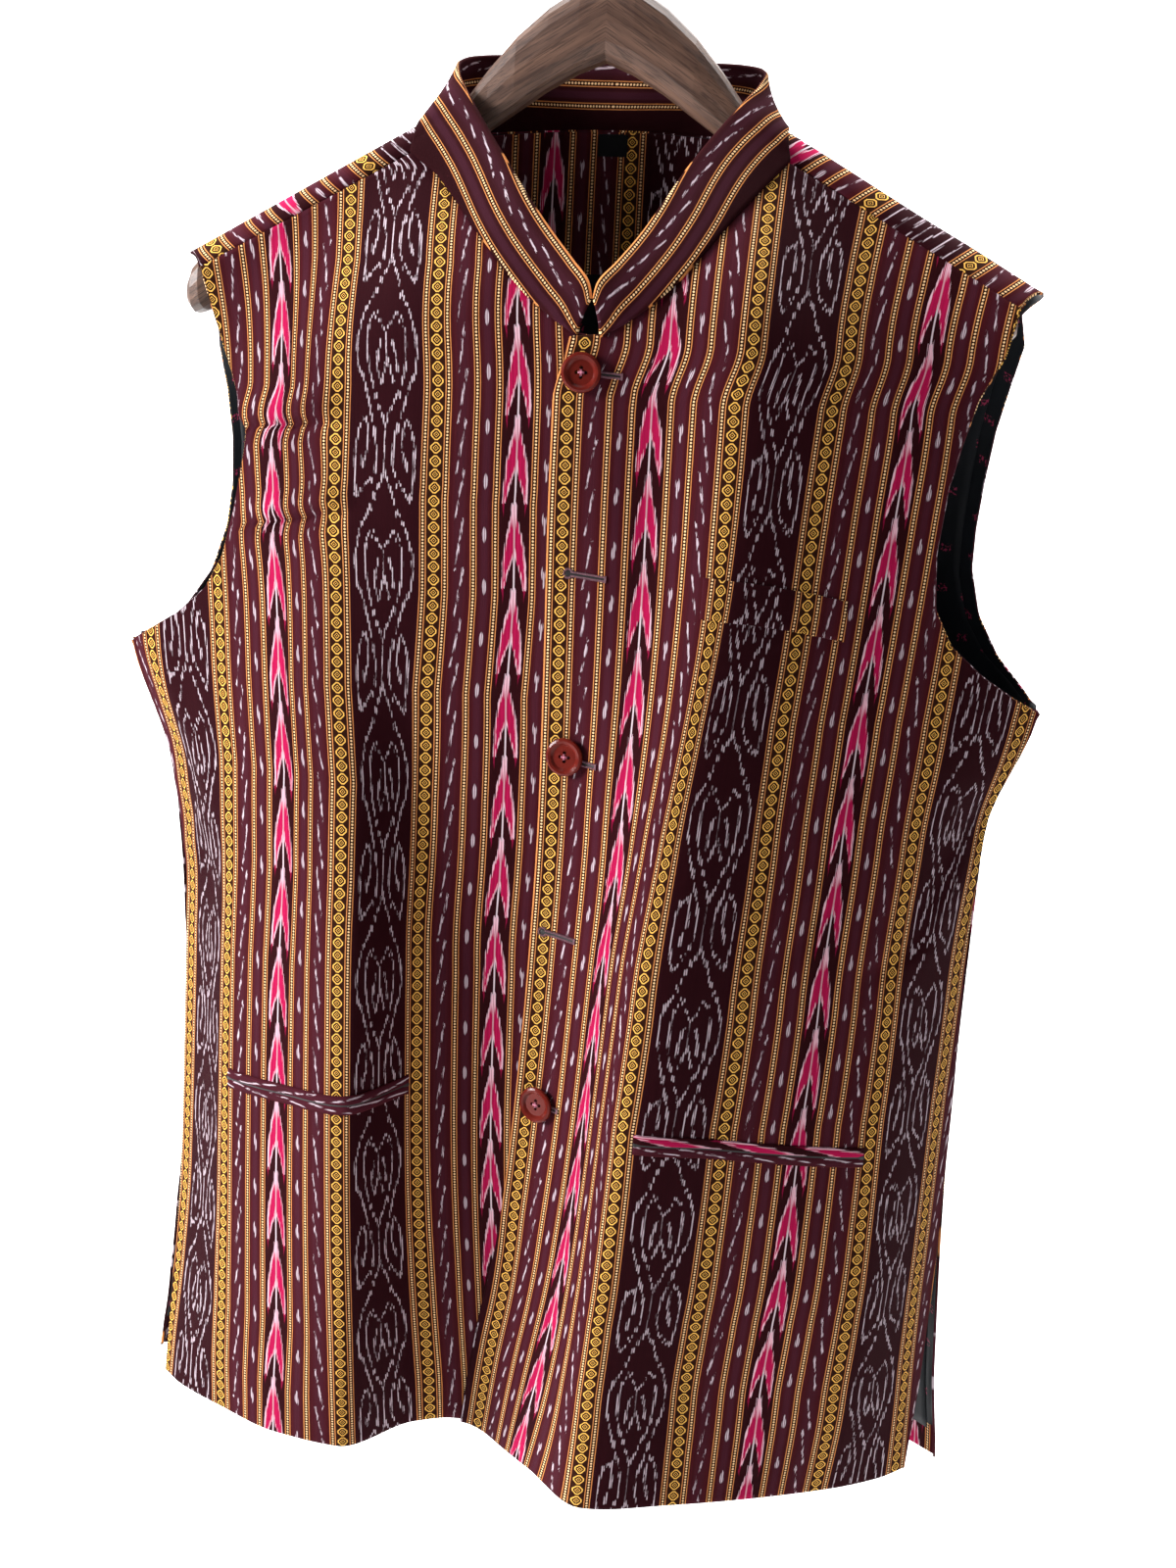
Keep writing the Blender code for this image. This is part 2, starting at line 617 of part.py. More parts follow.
def button(name, height, face, finish, collection, cutters):
    """A turned button with a raised rim and four thread holes, square to the cloth under it."""
    x = section(FRONT_SECTIONS, height)[1] + 13.5
    reach = BUTTON_RADIUS * 0.75
    across = laid_on(face, x + reach, height) - laid_on(face, x - reach, height)
    upward = laid_on(face, x, height + reach) - laid_on(face, x, height - reach)
    out = across.cross(upward).normalized()
    middle = laid_on(face, x, height)
    around = [laid_on(face, x + reach * math.cos(k), height + reach * math.sin(k)) for k in range(7)]
    crown = max((point - middle).dot(out) for point in around)
    profile = ((6.2, 2.2), (7.4, 3.3), (8.6, 3.7), (9.7, 3.2), (BUTTON_RADIUS, 2.2), (9.4, 0.8), (7.5, 0.0))
    mesh = bpy.data.meshes.new(name)
    shape = bmesh.new()
    rim = [shape.verts.new((r * MM, 0.0, z * MM)) for r, z in profile]
    lines = [shape.edges.new((a, b)) for a, b in zip(rim, rim[1:])]
    bmesh.ops.spin(shape, geom=rim + lines, cent=(0, 0, 0), axis=(0, 0, 1), angle=2.0 * math.pi, steps=36)
    bmesh.ops.remove_doubles(shape, verts=shape.verts, dist=0.00001)
    bmesh.ops.holes_fill(shape, edges=shape.edges)
    bmesh.ops.recalc_face_normals(shape, faces=shape.faces)
    shape.to_mesh(mesh)
    shape.free()
    thing = add_object(name, mesh, finish, collection)
    frame = Matrix((across.normalized(), out.cross(across.normalized()), out)).transposed()
    thing.matrix_world = Matrix.Translation(middle + out * (crown + 0.5 * MM)) @ frame.to_4x4()
    bpy.context.view_layer.update()
    for turn in (0, 90, 180, 270):
        offset = Vector((math.cos(math.radians(turn)), math.sin(math.radians(turn)), 0.0)) * 2.3 * MM
        drill(thing, 0.95, 6.0, thing.matrix_world @ offset, out, cutters, sides=12)
    return thing


def main():
    for old in list(bpy.data.objects):
        bpy.data.objects.remove(old, do_unlink=True)
    parts = bpy.data.collections.new("ikat_jacket")
    cutters = bpy.data.collections.new("cutters")
    for collection in (parts, cutters):
        bpy.context.scene.collection.children.link(collection)

    ikat = material("ikat_cloth", (0.10, 0.022, 0.03), 0.85)
    lining = material("lining", (0.02, 0.02, 0.022), 0.5)
    label = material("label", (0.01, 0.01, 0.01), 0.6)
    plastic = material("button", (0.20, 0.02, 0.015), 0.2)
    wood = material("walnut", (0.10, 0.045, 0.025), 0.45)
    steel = material("steel", (0.6, 0.6, 0.6), 0.25, 1.0)

    left, right, back = front_grid(1), front_grid(-1), back_grid()
    cloth("front_left", left, SHELL_WALL, ikat, parts)
    cloth("front_right", right, SHELL_WALL, ikat, parts)
    cloth("back", back, SHELL_WALL, ikat, parts)
    cloth("collar", collar_grid(), COLLAR_WALL, ikat, parts)
    cloth("back_lining", lining_grid(back), LINING_WALL, lining, parts)
    facing = facing_grid(back)
    cloth("back_neck_facing", facing, LINING_WALL, ikat, parts)

    middle = len(facing[0]) // 2
    tag = [[row[middle].lerp(row[middle + k], LABEL_SHARE) for k in (-1, 0, 1)] for row in facing[-4:]]
    cloth("size_label", sheet_inward(tag, LINING_WALL + 2 * SEAM_GAP), LABEL_WALL, label, parts)

    for name, line, front, lift in (("right", RIGHT_POCKET, right, RIGHT_JET_LIFT),
                                    ("left", LEFT_POCKET, left, LEFT_JET_LIFT)):
        upper = strip_grid(surface_of(front), line, JET_GAP, JET_HEIGHT, lift)
        lower = strip_grid(surface_of(front), line, -JET_HEIGHT, -JET_GAP, lift)
        cloth("jet_%s_upper" % name, upper, TRIM_WALL, ikat, parts)
        cloth("jet_%s_lower" % name, lower, TRIM_WALL, ikat, parts)
    half = WELT_HEIGHT / 2
    welt = strip_grid(surface_of(left), BREAST_WELT, -half, half, WELT_LIFT)
    cloth("breast_welt", welt, TRIM_WALL, ikat, parts)

    face = surface_of(left)
    for name, place_down in (("button_top", 0), ("button_middle", 2), ("button_bottom", 4)):
        button(name, -49.0 - place_down * BUTTON_PITCH, face, plastic, parts, cutters)

    bar = hanger_bar(wood, parts)
    top = place(0.0, ARCH_CENTRE - 1.0, HANGER_SECTIONS[0][1])
    drill(bar, HOOK_WIRE + SEAM_GAP, HOOK_HOLE_DEPTH, top, Vector((0.0, 0.0, 1.0)), cutters)
    hook(steel, parts)


main()
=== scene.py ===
import math
import bpy
import bmesh
import numpy as np
from mathutils import Matrix, Vector


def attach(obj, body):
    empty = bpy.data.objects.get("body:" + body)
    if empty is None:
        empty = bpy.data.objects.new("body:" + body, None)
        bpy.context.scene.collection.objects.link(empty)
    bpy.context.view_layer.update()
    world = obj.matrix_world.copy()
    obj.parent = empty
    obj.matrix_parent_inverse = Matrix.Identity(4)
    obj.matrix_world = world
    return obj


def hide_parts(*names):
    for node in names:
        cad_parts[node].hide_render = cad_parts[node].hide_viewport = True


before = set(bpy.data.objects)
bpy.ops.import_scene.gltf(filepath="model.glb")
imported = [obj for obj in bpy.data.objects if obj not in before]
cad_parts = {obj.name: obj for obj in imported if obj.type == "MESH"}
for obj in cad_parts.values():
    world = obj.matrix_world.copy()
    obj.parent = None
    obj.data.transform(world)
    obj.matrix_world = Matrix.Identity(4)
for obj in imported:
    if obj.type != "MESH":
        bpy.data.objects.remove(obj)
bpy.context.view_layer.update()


# Camera
# Stands a little to the jacket's left side and looks slightly down at it, as in the photograph.
yaw, pitch, roll = math.radians(7.85), math.radians(13.5), math.radians(3.25)
ahead = Vector((-math.sin(yaw) * math.cos(pitch), math.cos(yaw) * math.cos(pitch), -math.sin(pitch)))
level = Vector((math.cos(yaw), math.sin(yaw), 0))
upright = level.cross(ahead)
camera_right = level * math.cos(roll) + upright * math.sin(roll)
camera_up = upright * math.cos(roll) - level * math.sin(roll)
lens = bpy.data.cameras.new("camera")
lens.sensor_fit = "VERTICAL"
lens.sensor_height = 36
lens.lens = 45
camera = bpy.data.objects.new("camera", lens)
camera.matrix_world = (Matrix.Translation((0.156, -1.045, -0.245))
                       @ Matrix((camera_right, camera_up, -ahead)).transposed().to_4x4())
bpy.context.scene.collection.objects.link(camera)
bpy.context.scene.camera = camera
bpy.context.scene.view_settings.view_transform = "Standard"


# Fronts
# Each front is one cut of ikat cotton from hem to shoulder, faced inside with satin. The wearer's
# left front laps over the right one and takes the buttonholes along its edge.

# The cotton is striped with tied-and-dyed bands between woven ladders and rosettes. Its pattern reads
# the cloth's own map, laid out along the yarns. All lengths are in millimetres.
STRIPE_REPEAT = 138.5      # from one band of ovals to the next
ROSETTE_LINE = 42          # from a rosette stripe to the middle of the next arrow band
ARROW_BAND = 7.75          # half width of the band of magenta arrowheads
NARROW_LADDER = 1.975      # half width of a ladder
SPINDLE_BAND = 3.75        # half width of the purple band with white spindles
DASH_BAND = 5.6            # half width of the band with slanted dashes
ROSETTE_BAND = 3.9         # half width of the rosettes between their ladders
OVAL_BAND = 19.6           # half width of the band of ovals
ROSETTE_PITCH = 6.7
ARROW_PITCH = 44
SPINDLE_PITCH = 27
DASH_PITCH = 25
OVAL_PITCH = 110
TIED_BUNDLE = 1.05         # yarns that are tied and dyed together
YARN = 0.42


def feed(slot, value):
    """Sets a node's input to a number or a colour, or joins it to another node's output."""
    if isinstance(value, Yarn):
        value = value.socket
    if isinstance(value, bpy.types.NodeSocket):
        Yarn.tree.links.new(value, slot)
    else:
        slot.default_value = (*value, 1) if isinstance(value, tuple) else value


class Yarn:
    """A number in a material's nodes, worked with like any other number."""

    tree = None

    def __init__(self, socket):
        self.socket = socket

    @classmethod
    def node(cls, operation, *values, clamp=False):
        made = cls.tree.nodes.new("ShaderNodeMath")
        made.operation = operation
        made.use_clamp = clamp
        for slot, value in zip(made.inputs, values):
            feed(slot, value)
        return Yarn(made.outputs[0])

    def wave(self, pitch):
        return Yarn.node("SINE", self * (2 * math.pi / pitch))

    def floor(self):
        return Yarn.node("FLOOR", self)

    def __add__(self, other):
        return Yarn.node("ADD", self, other)

    def __sub__(self, other):
        return Yarn.node("SUBTRACT", self, other)

    def __rsub__(self, other):
        return Yarn.node("SUBTRACT", other, self)

    def __mul__(self, other):
        return Yarn.node("MULTIPLY", self, other)

    def __truediv__(self, other):
        return Yarn.node("DIVIDE", self, other)

    def __abs__(self):
        return Yarn.node("ABSOLUTE", self)

    def around(self, pitch):
        """Distance from the nearest of marks set a pitch apart, below 0 before the mark."""
        return Yarn.node("WRAP", self, pitch / 2, -pitch / 2)

    def along(self, pitch):
        """Distance past the last of marks set a pitch apart."""
        return Yarn.node("WRAP", self, pitch, 0)

    def within(self, reach, soft=0.12):
        """1 where this is nearer to 0 than the reach, fading over a soft edge."""
        if isinstance(reach, Yarn):
            return Yarn.node("MULTIPLY", reach - abs(self), 1 / soft, clamp=True)
        return Yarn.node("MULTIPLY_ADD", abs(self), -1 / soft, reach / soft + 0.5, clamp=True)

    def over(self, level, soft=0.12):
        return Yarn.node("MULTIPLY_ADD", self, 1 / soft, 0.5 - level / soft, clamp=True)

    def either(self, other):
        return Yarn.node("MAXIMUM", self, other)

    def but_not(self, other):
        return self * (1 - other)

    def grain(self, seed):
        """A steady random number for each whole step of this one."""
        noise = Yarn.tree.nodes.new("ShaderNodeTexWhiteNoise")
        noise.noise_dimensions = "1D"
        feed(noise.inputs["W"], self.floor() + seed)
        return Yarn(noise.outputs["Value"])

    def chart(self, length, reach, marks):
        """A line drawn over the length of a repeat, through marks of (place, distance)."""
        made = Yarn.tree.nodes.new("ShaderNodeFloatCurve")
        line = made.mapping.curves[0]
        while len(line.points) < len(marks):
            line.points.new(0.5, 0.5)
        for point, (place, distance) in zip(line.points, marks):
            point.location = (place / length, distance / reach)
            point.handle_type = "AUTO"
        made.mapping.update()
        feed(made.inputs["Value"], self / length)
        return Yarn(made.outputs["Value"]) * reach


def cloud(where, scale=1, detail=2):
    """Smooth noise from 0 to 1 over coordinates, or over two or three numbers."""
    noise = Yarn.tree.nodes.new("ShaderNodeTexNoise")
    feed(noise.inputs["Scale"], scale)
    feed(noise.inputs["Detail"], detail)
    if isinstance(where, tuple):
        made = Yarn.tree.nodes.new("ShaderNodeCombineXYZ")
        for slot, value in zip(made.inputs, where):
            feed(slot, value)
        where = made.outputs[0]
    feed(noise.inputs["Vector"], where)
    return Yarn(noise.outputs["Fac"])


def dye(under, colour, amount):
    """A colour laid over another one by an amount."""
    mix = Yarn.tree.nodes.new("ShaderNodeMix")
    mix.data_type = "RGBA"
    for slot, value in ((mix.inputs[6], under), (mix.inputs[7], colour), (mix.inputs[0], amount)):
        feed(slot, value)
    return mix.outputs[2]


def new_material(name, **settings):
    """A material and its shader with some settings; the nodes that are made next belong to it."""
    made = bpy.data.materials.new(name)
    made.use_nodes = True
    Yarn.tree = made.node_tree
    shader = made.node_tree.nodes["Principled BSDF"]
    for setting, value in settings.items():
        feed(shader.inputs[setting.replace("_", " ")], value)
    return made, shader


def parts_of(vector):
    """The three numbers of some coordinates, turned from metres to millimetres."""
    parts = Yarn.tree.nodes.new("ShaderNodeSeparateXYZ")
    feed(parts.inputs[0], vector)
    return [Yarn(part) * 1000 for part in parts.outputs]


def new_cloth(name, roughness, specular=0.03, **settings):
    """A cloth's material, its shader, and the places across the cloth and down it."""
    made, shader = new_material(name, Roughness=roughness, Specular_IOR_Level=specular, **settings)
    where = Yarn.tree.nodes.new("ShaderNodeUVMap")
    where.uv_map = "cloth"
    across, down, _ = parts_of(where.outputs[0])
    return made, shader, across, down


def raise_surface(shader, height, distance, strength=1):
    """Fine relief of a surface; a height of 1 stands out by the distance, in metres."""
    bump = Yarn.tree.nodes.new("ShaderNodeBump")
    for setting, value in (("Distance", distance), ("Strength", strength), ("Height", height)):
        feed(bump.inputs[setting], value)
    feed(shader.inputs["Normal"], bump.outputs[0])


def ikat_cloth(name, plain_bands=False):
    """The striped cotton; the collar's strip has a darker ground, and plain bands in place of spindles and
    arrowheads.
    """
    made, shader, across, down = new_cloth(name, 0.8, Sheen_Weight=0.012, Sheen_Roughness=0.4,
                                           Sheen_Tint=(0.8, 0.35, 0.4))

    # Dyed yarns slip along each other, which feathers every dyed edge.
    slip = (across / YARN).grain(3)
    finer = (across / (YARN * 0.5)).grain(11)
    wander = cloud((across * 0.11, down * 0.05))
    dyed_down = down + slip * 3 + finer + wander * 3
    dyed_across = across + (cloud((across * 0.3, down * 0.16, 7)) - 0.5) * 1.3
    patchy = cloud((across * 1.6, down * 0.28, 3))

    bundle = (across / 0.84).floor() * 7.31 + ((down + slip * 4) / 5.5).floor()
    gaps = (patchy * 0.8 + bundle.grain(5) * 0.45).over(0.50, 0.18)

    middle = STRIPE_REPEAT / 2
    from_arrow = (across - ROSETTE_LINE).around(STRIPE_REPEAT)
    away = abs(from_arrow)
    dyed_away = abs((dyed_across - ROSETTE_LINE).around(STRIPE_REPEAT))
    spindle_line = ARROW_BAND + 2 * NARROW_LADDER + SPINDLE_BAND
    outer_ladder = spindle_line + SPINDLE_BAND + NARROW_LADDER
    dash_line = outer_ladder + NARROW_LADDER + DASH_BAND

    # Ground colour: plum that is darker in the bands of arrowheads and ovals, and purple beside them
    streak = (across / YARN).grain(29)
    dark, pale = (0.046, 0.0046, 0.0070), (0.070, 0.0085, 0.0125)
    # The collar's strip has a darker plum ground.
    if plain_bands:
        dark, pale = (0.026, 0.0040, 0.0055), (0.040, 0.0070, 0.0095)
    ground = dye(dark, pale, cloud((across * 0.05, down * 0.01), detail=3))
    ground = dye(ground, (0.022, 0.0030, 0.0045), streak * 0.4)
    ovals_here = (away - middle).within(OVAL_BAND, 0.3)
    ground = dye(ground, (0.015, 0.0022, 0.0042), ovals_here * 0.8)
    ground = dye(ground, (0.016, 0.0022, 0.0035), away.within(ARROW_BAND, 0.3) * 0.8)
    purple = (away - spindle_line).within(1.9, 1.4)
    ground = dye(ground, (0.066, 0.017, 0.034), purple * 0.4)
    ground = dye(ground, (0.060, 0.015, 0.028), (away - dash_line).within(3, 3) * 0.4)

    # White spindles in the purple bands and slanted dashes beside the rosettes
    side = Yarn.node("SIGN", from_arrow)
    band = ((across - ROSETTE_LINE) / STRIPE_REPEAT + 0.5).floor()
    tied = (across / TIED_BUNDLE).floor() + 0.5
    tie = (across / TIED_BUNDLE - tied).within(0.34, 0.2)
    tied_down = down + tied.grain(17) * 4.6 + wander * 3
    spindle = (tied_down + side * 3.5).around(SPINDLE_PITCH)
    spindle_half = 1.3 - spindle * spindle * 0.06
    white = (away - spindle_line).within(spindle_half, 0.35) * tie
    slope = (dyed_down + side * 6).along(DASH_PITCH) * (4.2 / DASH_PITCH) - 2.1
    dashes = ((dyed_away - dash_line) - slope).within(0.5, 0.35)
    dashes = dashes * (dyed_down + wander * 26).around(11.5).within(3.8, 1.5) * gaps
    white = dashes if plain_bands else white.either(dashes)

    # Arrowheads: a magenta body that parts into two legs round a dark notch, edged in pale pink
    point = (dyed_down + 16 - band * 17).along(ARROW_PITCH)
    arrow_edge = point.chart(ARROW_PITCH, 8, (
        (0, 0.5), (5, 1.3), (11, 2.6), (18, 4.2), (26, 5.4), (36, 6.1), (44, 6.2)))
    notch_edge = point.chart(ARROW_PITCH, 8, (
        (0, 0), (23, 0), (26, 0.5), (34, 2.9), (40, 4.4), (44, 5.2)))
    body = dyed_away.within(arrow_edge, 0.3).but_not(dyed_away.within(notch_edge, 0.3))
    last_legs = (dyed_away - 5.75 + point * 0.02).within(0.75 - point * 0.1, 0.3)
    body = body.either(last_legs * 0.5)
    fringe = (slip + finer).over(1, 0.3)
    rim = (dyed_away - arrow_edge + 0.3).within(0.6, 0.3) * fringe
    rim = rim.either((dyed_away - notch_edge).within(0.45, 0.3) * point.over(23, 1) * fringe)
    rim = rim * dyed_away.within(6.6, 0.4)
    tip = (point - 4).within(6, 6) * dyed_away.within(1.4, 0.9) * slip.over(0.4, 0.3)
    spine = from_arrow.within(0.42, 0.25) * ((point - 35).within(9, 3) * 0.5 + 0.5)

    # Ovals: half of each motif's lines, as distances from the band's middle down one repeat
    place = tied_down.along(OVAL_PITCH)
    middle_away = abs((tied * TIED_BUNDLE - ROSETTE_LINE - middle).around(STRIPE_REPEAT))
    ovals = None
    for first, last, marks in (
            (0, 97, ((0, 9.8), (13, 15.2), (21, 16.3), (28, 16.2), (41, 12.5), (57, 8.2), (65, 6),
                     (74, 4.6), (82, 4.7), (88, 6.4), (93, 9.6), (98, 13.8))),
            (85, 110, ((80, 0), (85, 0.4), (95, 4), (105, 7.8), (110, 9.8))),
            (13, 62, ((10, 9), (15, 10.2), (22, 10.6), (30, 10.2), (40, 8.3), (50, 4.7), (61, 0.4),
                      (65, 0))),
            (19, 36, ((17, 2.8), (23, 3.9), (30, 5.3), (36, 5.2))),
            (29, 41, ((28, 0), (35, 1.9), (41, 3.5))),
            (59, 98, ((58, 11.5), (61, 12.8), (65, 14.7), (75, 16.1), (88, 16.1), (95, 15),
                      (99, 13.2))),
            (59, 83, ((58, 11.4), (61, 10.6), (66, 9.7), (73, 9.4), (78, 10.5), (83, 11.7)))):
        line = place.chart(OVAL_PITCH, 20, marks)
        stroke = (middle_away - line).within(0.64, 0.3)
        stroke = stroke * (place - (first + last) / 2).within((last - first) / 2, 1)
        ovals = stroke if ovals is None else ovals.either(stroke)
    blob = (middle_away - 11.8).within(0.9, 0.5) * (place - 82).within(2.6, 1)
    hook_end = (middle_away - 5.3).within(0.9, 0.5) * (place - 34).within(1.8, 1)
    stem = middle_away.within(0.42, 0.3) * ((place - 22).within(7, 1)).either(
        (place - 74).within(11, 1))
    crown = middle_away.chart(20, 20, ((0, 15), (3, 10.4), (6.2, 6.4), (8.4, 8.6), (10.2, 13.6)))
    dome = (place - crown).within(0.9, 0.8) * middle_away.within(10.4, 0.4)
    foot = middle_away.chart(20, 20, ((9, 10), (12, 13.2), (14, 15.4), (16, 12.4)))
    closing = (place - foot - 83).within(0.9, 0.8) * (middle_away - 13.5).within(2.6, 0.4)
    ovals = ovals.either(blob).either(hook_end).either(stem).either(dome).either(closing)
    ovals = ovals * ovals_here * gaps * tie
    white = white.either(ovals)

    colour = dye(ground, (0.68, 0.55, 0.62), white * 0.85)
    if not plain_bands:
        colour = dye(colour, (0.47, 0.008, 0.075), body * (streak * 0.3 + 0.7))
        colour = dye(colour, (0.84, 0.52, 0.62), rim.either(tip) * 0.9)
        colour = dye(colour, (0.74, 0.58, 0.64), spine * 0.9)

    # Woven ladders: two ochre rails with a row of pale beads between them
    rosette_side = abs(away - ROSETTE_LINE)
    ladder = abs(away - ARROW_BAND - NARROW_LADDER)
    for other in (abs(away - outer_ladder), abs(rosette_side - ROSETTE_BAND - NARROW_LADDER + 0.1)):
        ladder = Yarn.node("MINIMUM", ladder, other)
    on_ladder = ladder.within(1.95, 0.12)
    rails = (ladder - 1.5).within(0.27, 0.12)
    bead_down = down.around(ROSETTE_PITCH / 4) / 0.56
    bead = (ladder / 0.6) * (ladder / 0.6) + bead_down * bead_down
    beads = Yarn.node("MULTIPLY_ADD", bead, -2.2, 2.6, clamp=True) * on_ladder
    colour = dye(colour, (0.024, 0.005, 0.004), on_ladder)
    colour = dye(colour, (0.72, 0.270, 0.085), rails * (streak * 0.2 + 0.8))
    colour = dye(colour, (0.98, 0.65, 0.34), beads)

    # Rosettes: a yellow eight-sided ring round a dark-lined lozenge
    rosette_down = abs(down.around(ROSETTE_PITCH))
    lozenge = rosette_side + rosette_down
    ring = (rosette_side.either(rosette_down) * 0.96).either(lozenge * 0.76)
    yellow = (ring - 2.45).within(0.34, 0.12).either((lozenge - 1.35).within(0.22, 0.12))
    on_rosettes = rosette_side.within(ROSETTE_BAND, 0.1)
    yellow = yellow.either(lozenge.within(0.35, 0.12)) * on_rosettes
    colour = dye(colour, (0.028, 0.008, 0.004), on_rosettes)
    colour = dye(colour, (0.95, 0.52, 0.11), yellow)
    feed(shader.inputs["Base Color"], colour)

    # The extra threads of ladders and rosettes stand a little proud of the plain weave.
    weave = across.wave(YARN) * down.wave(YARN)
    proud = rails.either(beads).either(yellow)
    raise_surface(shader, weave * 0.12 + proud * 0.8 + patchy * 0.35, 0.00025, 0.9)
    return made


ikat = ikat_cloth("ikat_cloth")


# The fronts hang in folds from the ridge of the shoulders, which lies over the hanger in a round arch.
# Heights are counted from the shoulder tips, which hang below the hook.
SHOULDER_DROP = 225
SHOULDER_TILT = 0.018
NECK_HALF_WIDTH = 93
NECK_POINT_HEIGHT = 74.5
SHOULDER_SLOPE = 0.555
BACK_NECK_RISE = 10.5
SEAM_DROP = 15
ARCH_CENTRE = 5
ARCH_RISE = 0.85
CHEST_REACH = 105
FRONT_HEM = -660
FRONT_NECK, UNDERARM = -32, -213
LAP_WIDTH, LAP_SHIFT = 25, 3.4
WALL = 1.4
# height, left seam, front edge, right fold, right seam, then how far out at thirteen places across
FRONT_LEVELS = (
    (-60, -251, -8, 84, 251, 4, 10, 25, 44, 52, 57, 62, 60, 66, 48, 26, 10, 4),
    (-120, -251, -7, 84, 251, 4, 12, 27, 46, 58, 62, 65, 64, 74, 54, 29, 12, 4),
    (-205, -251, -5, 78, 251, 4, 14, 32, 54, 68, 63, 66, 74, 90, 68, 36, 14, 4),
    (-280, -227, -4, 70, 229, 4, 20, 48, 70, 82, 65, 66, 81, 103, 82, 50, 22, 4),
    (-360, -217, -6, 62, 226, 4, 20, 54, 75, 90, 61, 63, 81, 108, 91, 56, 24, 4),
    (-440, -218, -10, 56, 227, 4, 19, 53, 73, 88, 55, 60, 79, 108, 93, 60, 26, 4),
    (-520, -219, -17, 50, 227, 4, 19, 51, 70, 83, 48, 51, 73, 104, 88, 61, 26, 4),
    (-600, -223, -31, 45, 225, 7, 21, 47, 64, 74, 40, 39, 63, 97, 79, 55, 26, 7),
    (-660, -226, -39, 43, 221, 11, 24, 42, 61, 67, 34, 26, 61, 94, 80, 44, 25, 11),
)
FRONT_ARMHOLE = (           # height, x at the left, x at the right
    (-30, -199, 213), (-52, -190, 202), (-74, -180, 196), (-97, -175, 191), (-130, -181, 188),
    (-157, -188, 190), (-176, -199, 200), (-192, -217, 218), (-205, -238, 237), (UNDERARM, -251, 251))
NECKLINE = (                # height, distance from the neck's centre line, x of that line
    (-31.5, 3, 8), (-30.5, 6, 8), (-24, 17, 8), (-14, 31, 7.5), (-2, 43.5, 7),
    (13, 56, 5.5), (32, 71.5, 3.5), (45, 83, 2.5))
NECK_SEAM_X = 97
# Creases pressed in or hung into the cloth: ends in x and height, half width, how far they stand out
FRONT_CREASES = (
    (-186, -80, -128, -74, 8, 5), (-186, -91, -130, -85, 3.8, -6.5),
    (-168, -130, -118, -120, 6, 4.5), (-168, -140, -120, -131, 3.6, -5.5),
    (-243, -222, -205, -290, 11, -3), (-232, -218, -190, -300, 9, 2.5),
    (-215, -300, -190, -345, 9, -3), (-214, -330, -196, -300, 7, 2.5),
    (225, -260, 190, -330, 9, -3), (228, -285, 200, -350, 8, 2.5),
    (205, -330, 170, -352, 6, -2.5), (150, -310, 128, -345, 6, -2),
    (140, -296, 122, -330, 6, 1.8), (-60, -60, -48, -420, 14, -1.5),
    (20, -70, 34, -300, 12, 1.2), (-30, -300, -44, -640, 12, -2),
    (10, -470, -12, -650, 9, 2.5), (120, -60, 140, -120, 10, 1.5),
)


def lerp(a, b, t):
    return a + (b - a) * t


def smooth(t):
    t = np.clip(t, 0, 1)
    return t * t * (3 - 2 * t)


def curve_through(xs, ys, x):
    """Values at x of a smooth curve through the points, with no overshoot between them."""
    xs, ys = np.asarray(xs, float), np.asarray(ys, float)
    steps = np.diff(xs)
    slopes = np.diff(ys) / steps
    product, total = slopes[:-1] * slopes[1:], slopes[:-1] + slopes[1:]
    inner = np.where(product > 0, 2 * product / np.where(total == 0, 1, total), 0)
    tangents = np.concatenate(([slopes[0]], inner, [slopes[-1]]))
    x = np.clip(x, xs[0], xs[-1])
    k = np.clip(np.searchsorted(xs, x, side="right") - 1, 0, len(xs) - 2)
    h = steps[k]
    t = (x - xs[k]) / h
    return (ys[k] * (1 + 2 * t) * (1 - t) ** 2 + tangents[k] * h * t * (1 - t) ** 2
            + ys[k + 1] * t * t * (3 - 2 * t) + tangents[k + 1] * h * t * t * (t - 1))


def level_of(table, height):
    rows = table[::-1]
    heights = [row[0] for row in rows]
    return [float(curve_through(heights, [row[k] for row in rows], height)) for k in range(1, len(table[0]))]


def ridge(x):
    reach = np.abs(x)
    outside = NECK_POINT_HEIGHT - (reach - NECK_HALF_WIDTH) * SHOULDER_SLOPE
    inside = NECK_POINT_HEIGHT + BACK_NECK_RISE * (1 - (reach / NECK_HALF_WIDTH) ** 2)
    return np.where(reach > NECK_HALF_WIDTH, outside, inside) + x * SHOULDER_TILT


def arch_half(x):
    return lerp(14, 25, smooth((np.abs(x) - NECK_HALF_WIDTH) / 130))


def arch_round(x, drop):
    rise = arch_half(x) * ARCH_RISE
    t = np.clip((rise - drop) / rise, 0, 1)
    return arch_half(x) * np.sqrt(1 - t * t)


def creased(x, height, creases):
    """How far the creases push the cloth out at each place."""
    push = np.zeros_like(x, dtype=float)
    for x0, z0, x1, z1, half, out in creases:
        length = math.hypot(x1 - x0, z1 - z0)
        ux, uz = (x1 - x0) / length, (z1 - z0) / length
        along = (x - x0) * ux + (height - z0) * uz
        aside = -(x - x0) * uz + (height - z0) * ux
        start, end = along + 0.25 * length, 1.25 * length - along
        ends = smooth(start / (0.5 * length)) * smooth(end / (0.5 * length))
        push += out * ends * np.exp(-(aside / half) ** 2)
    return push


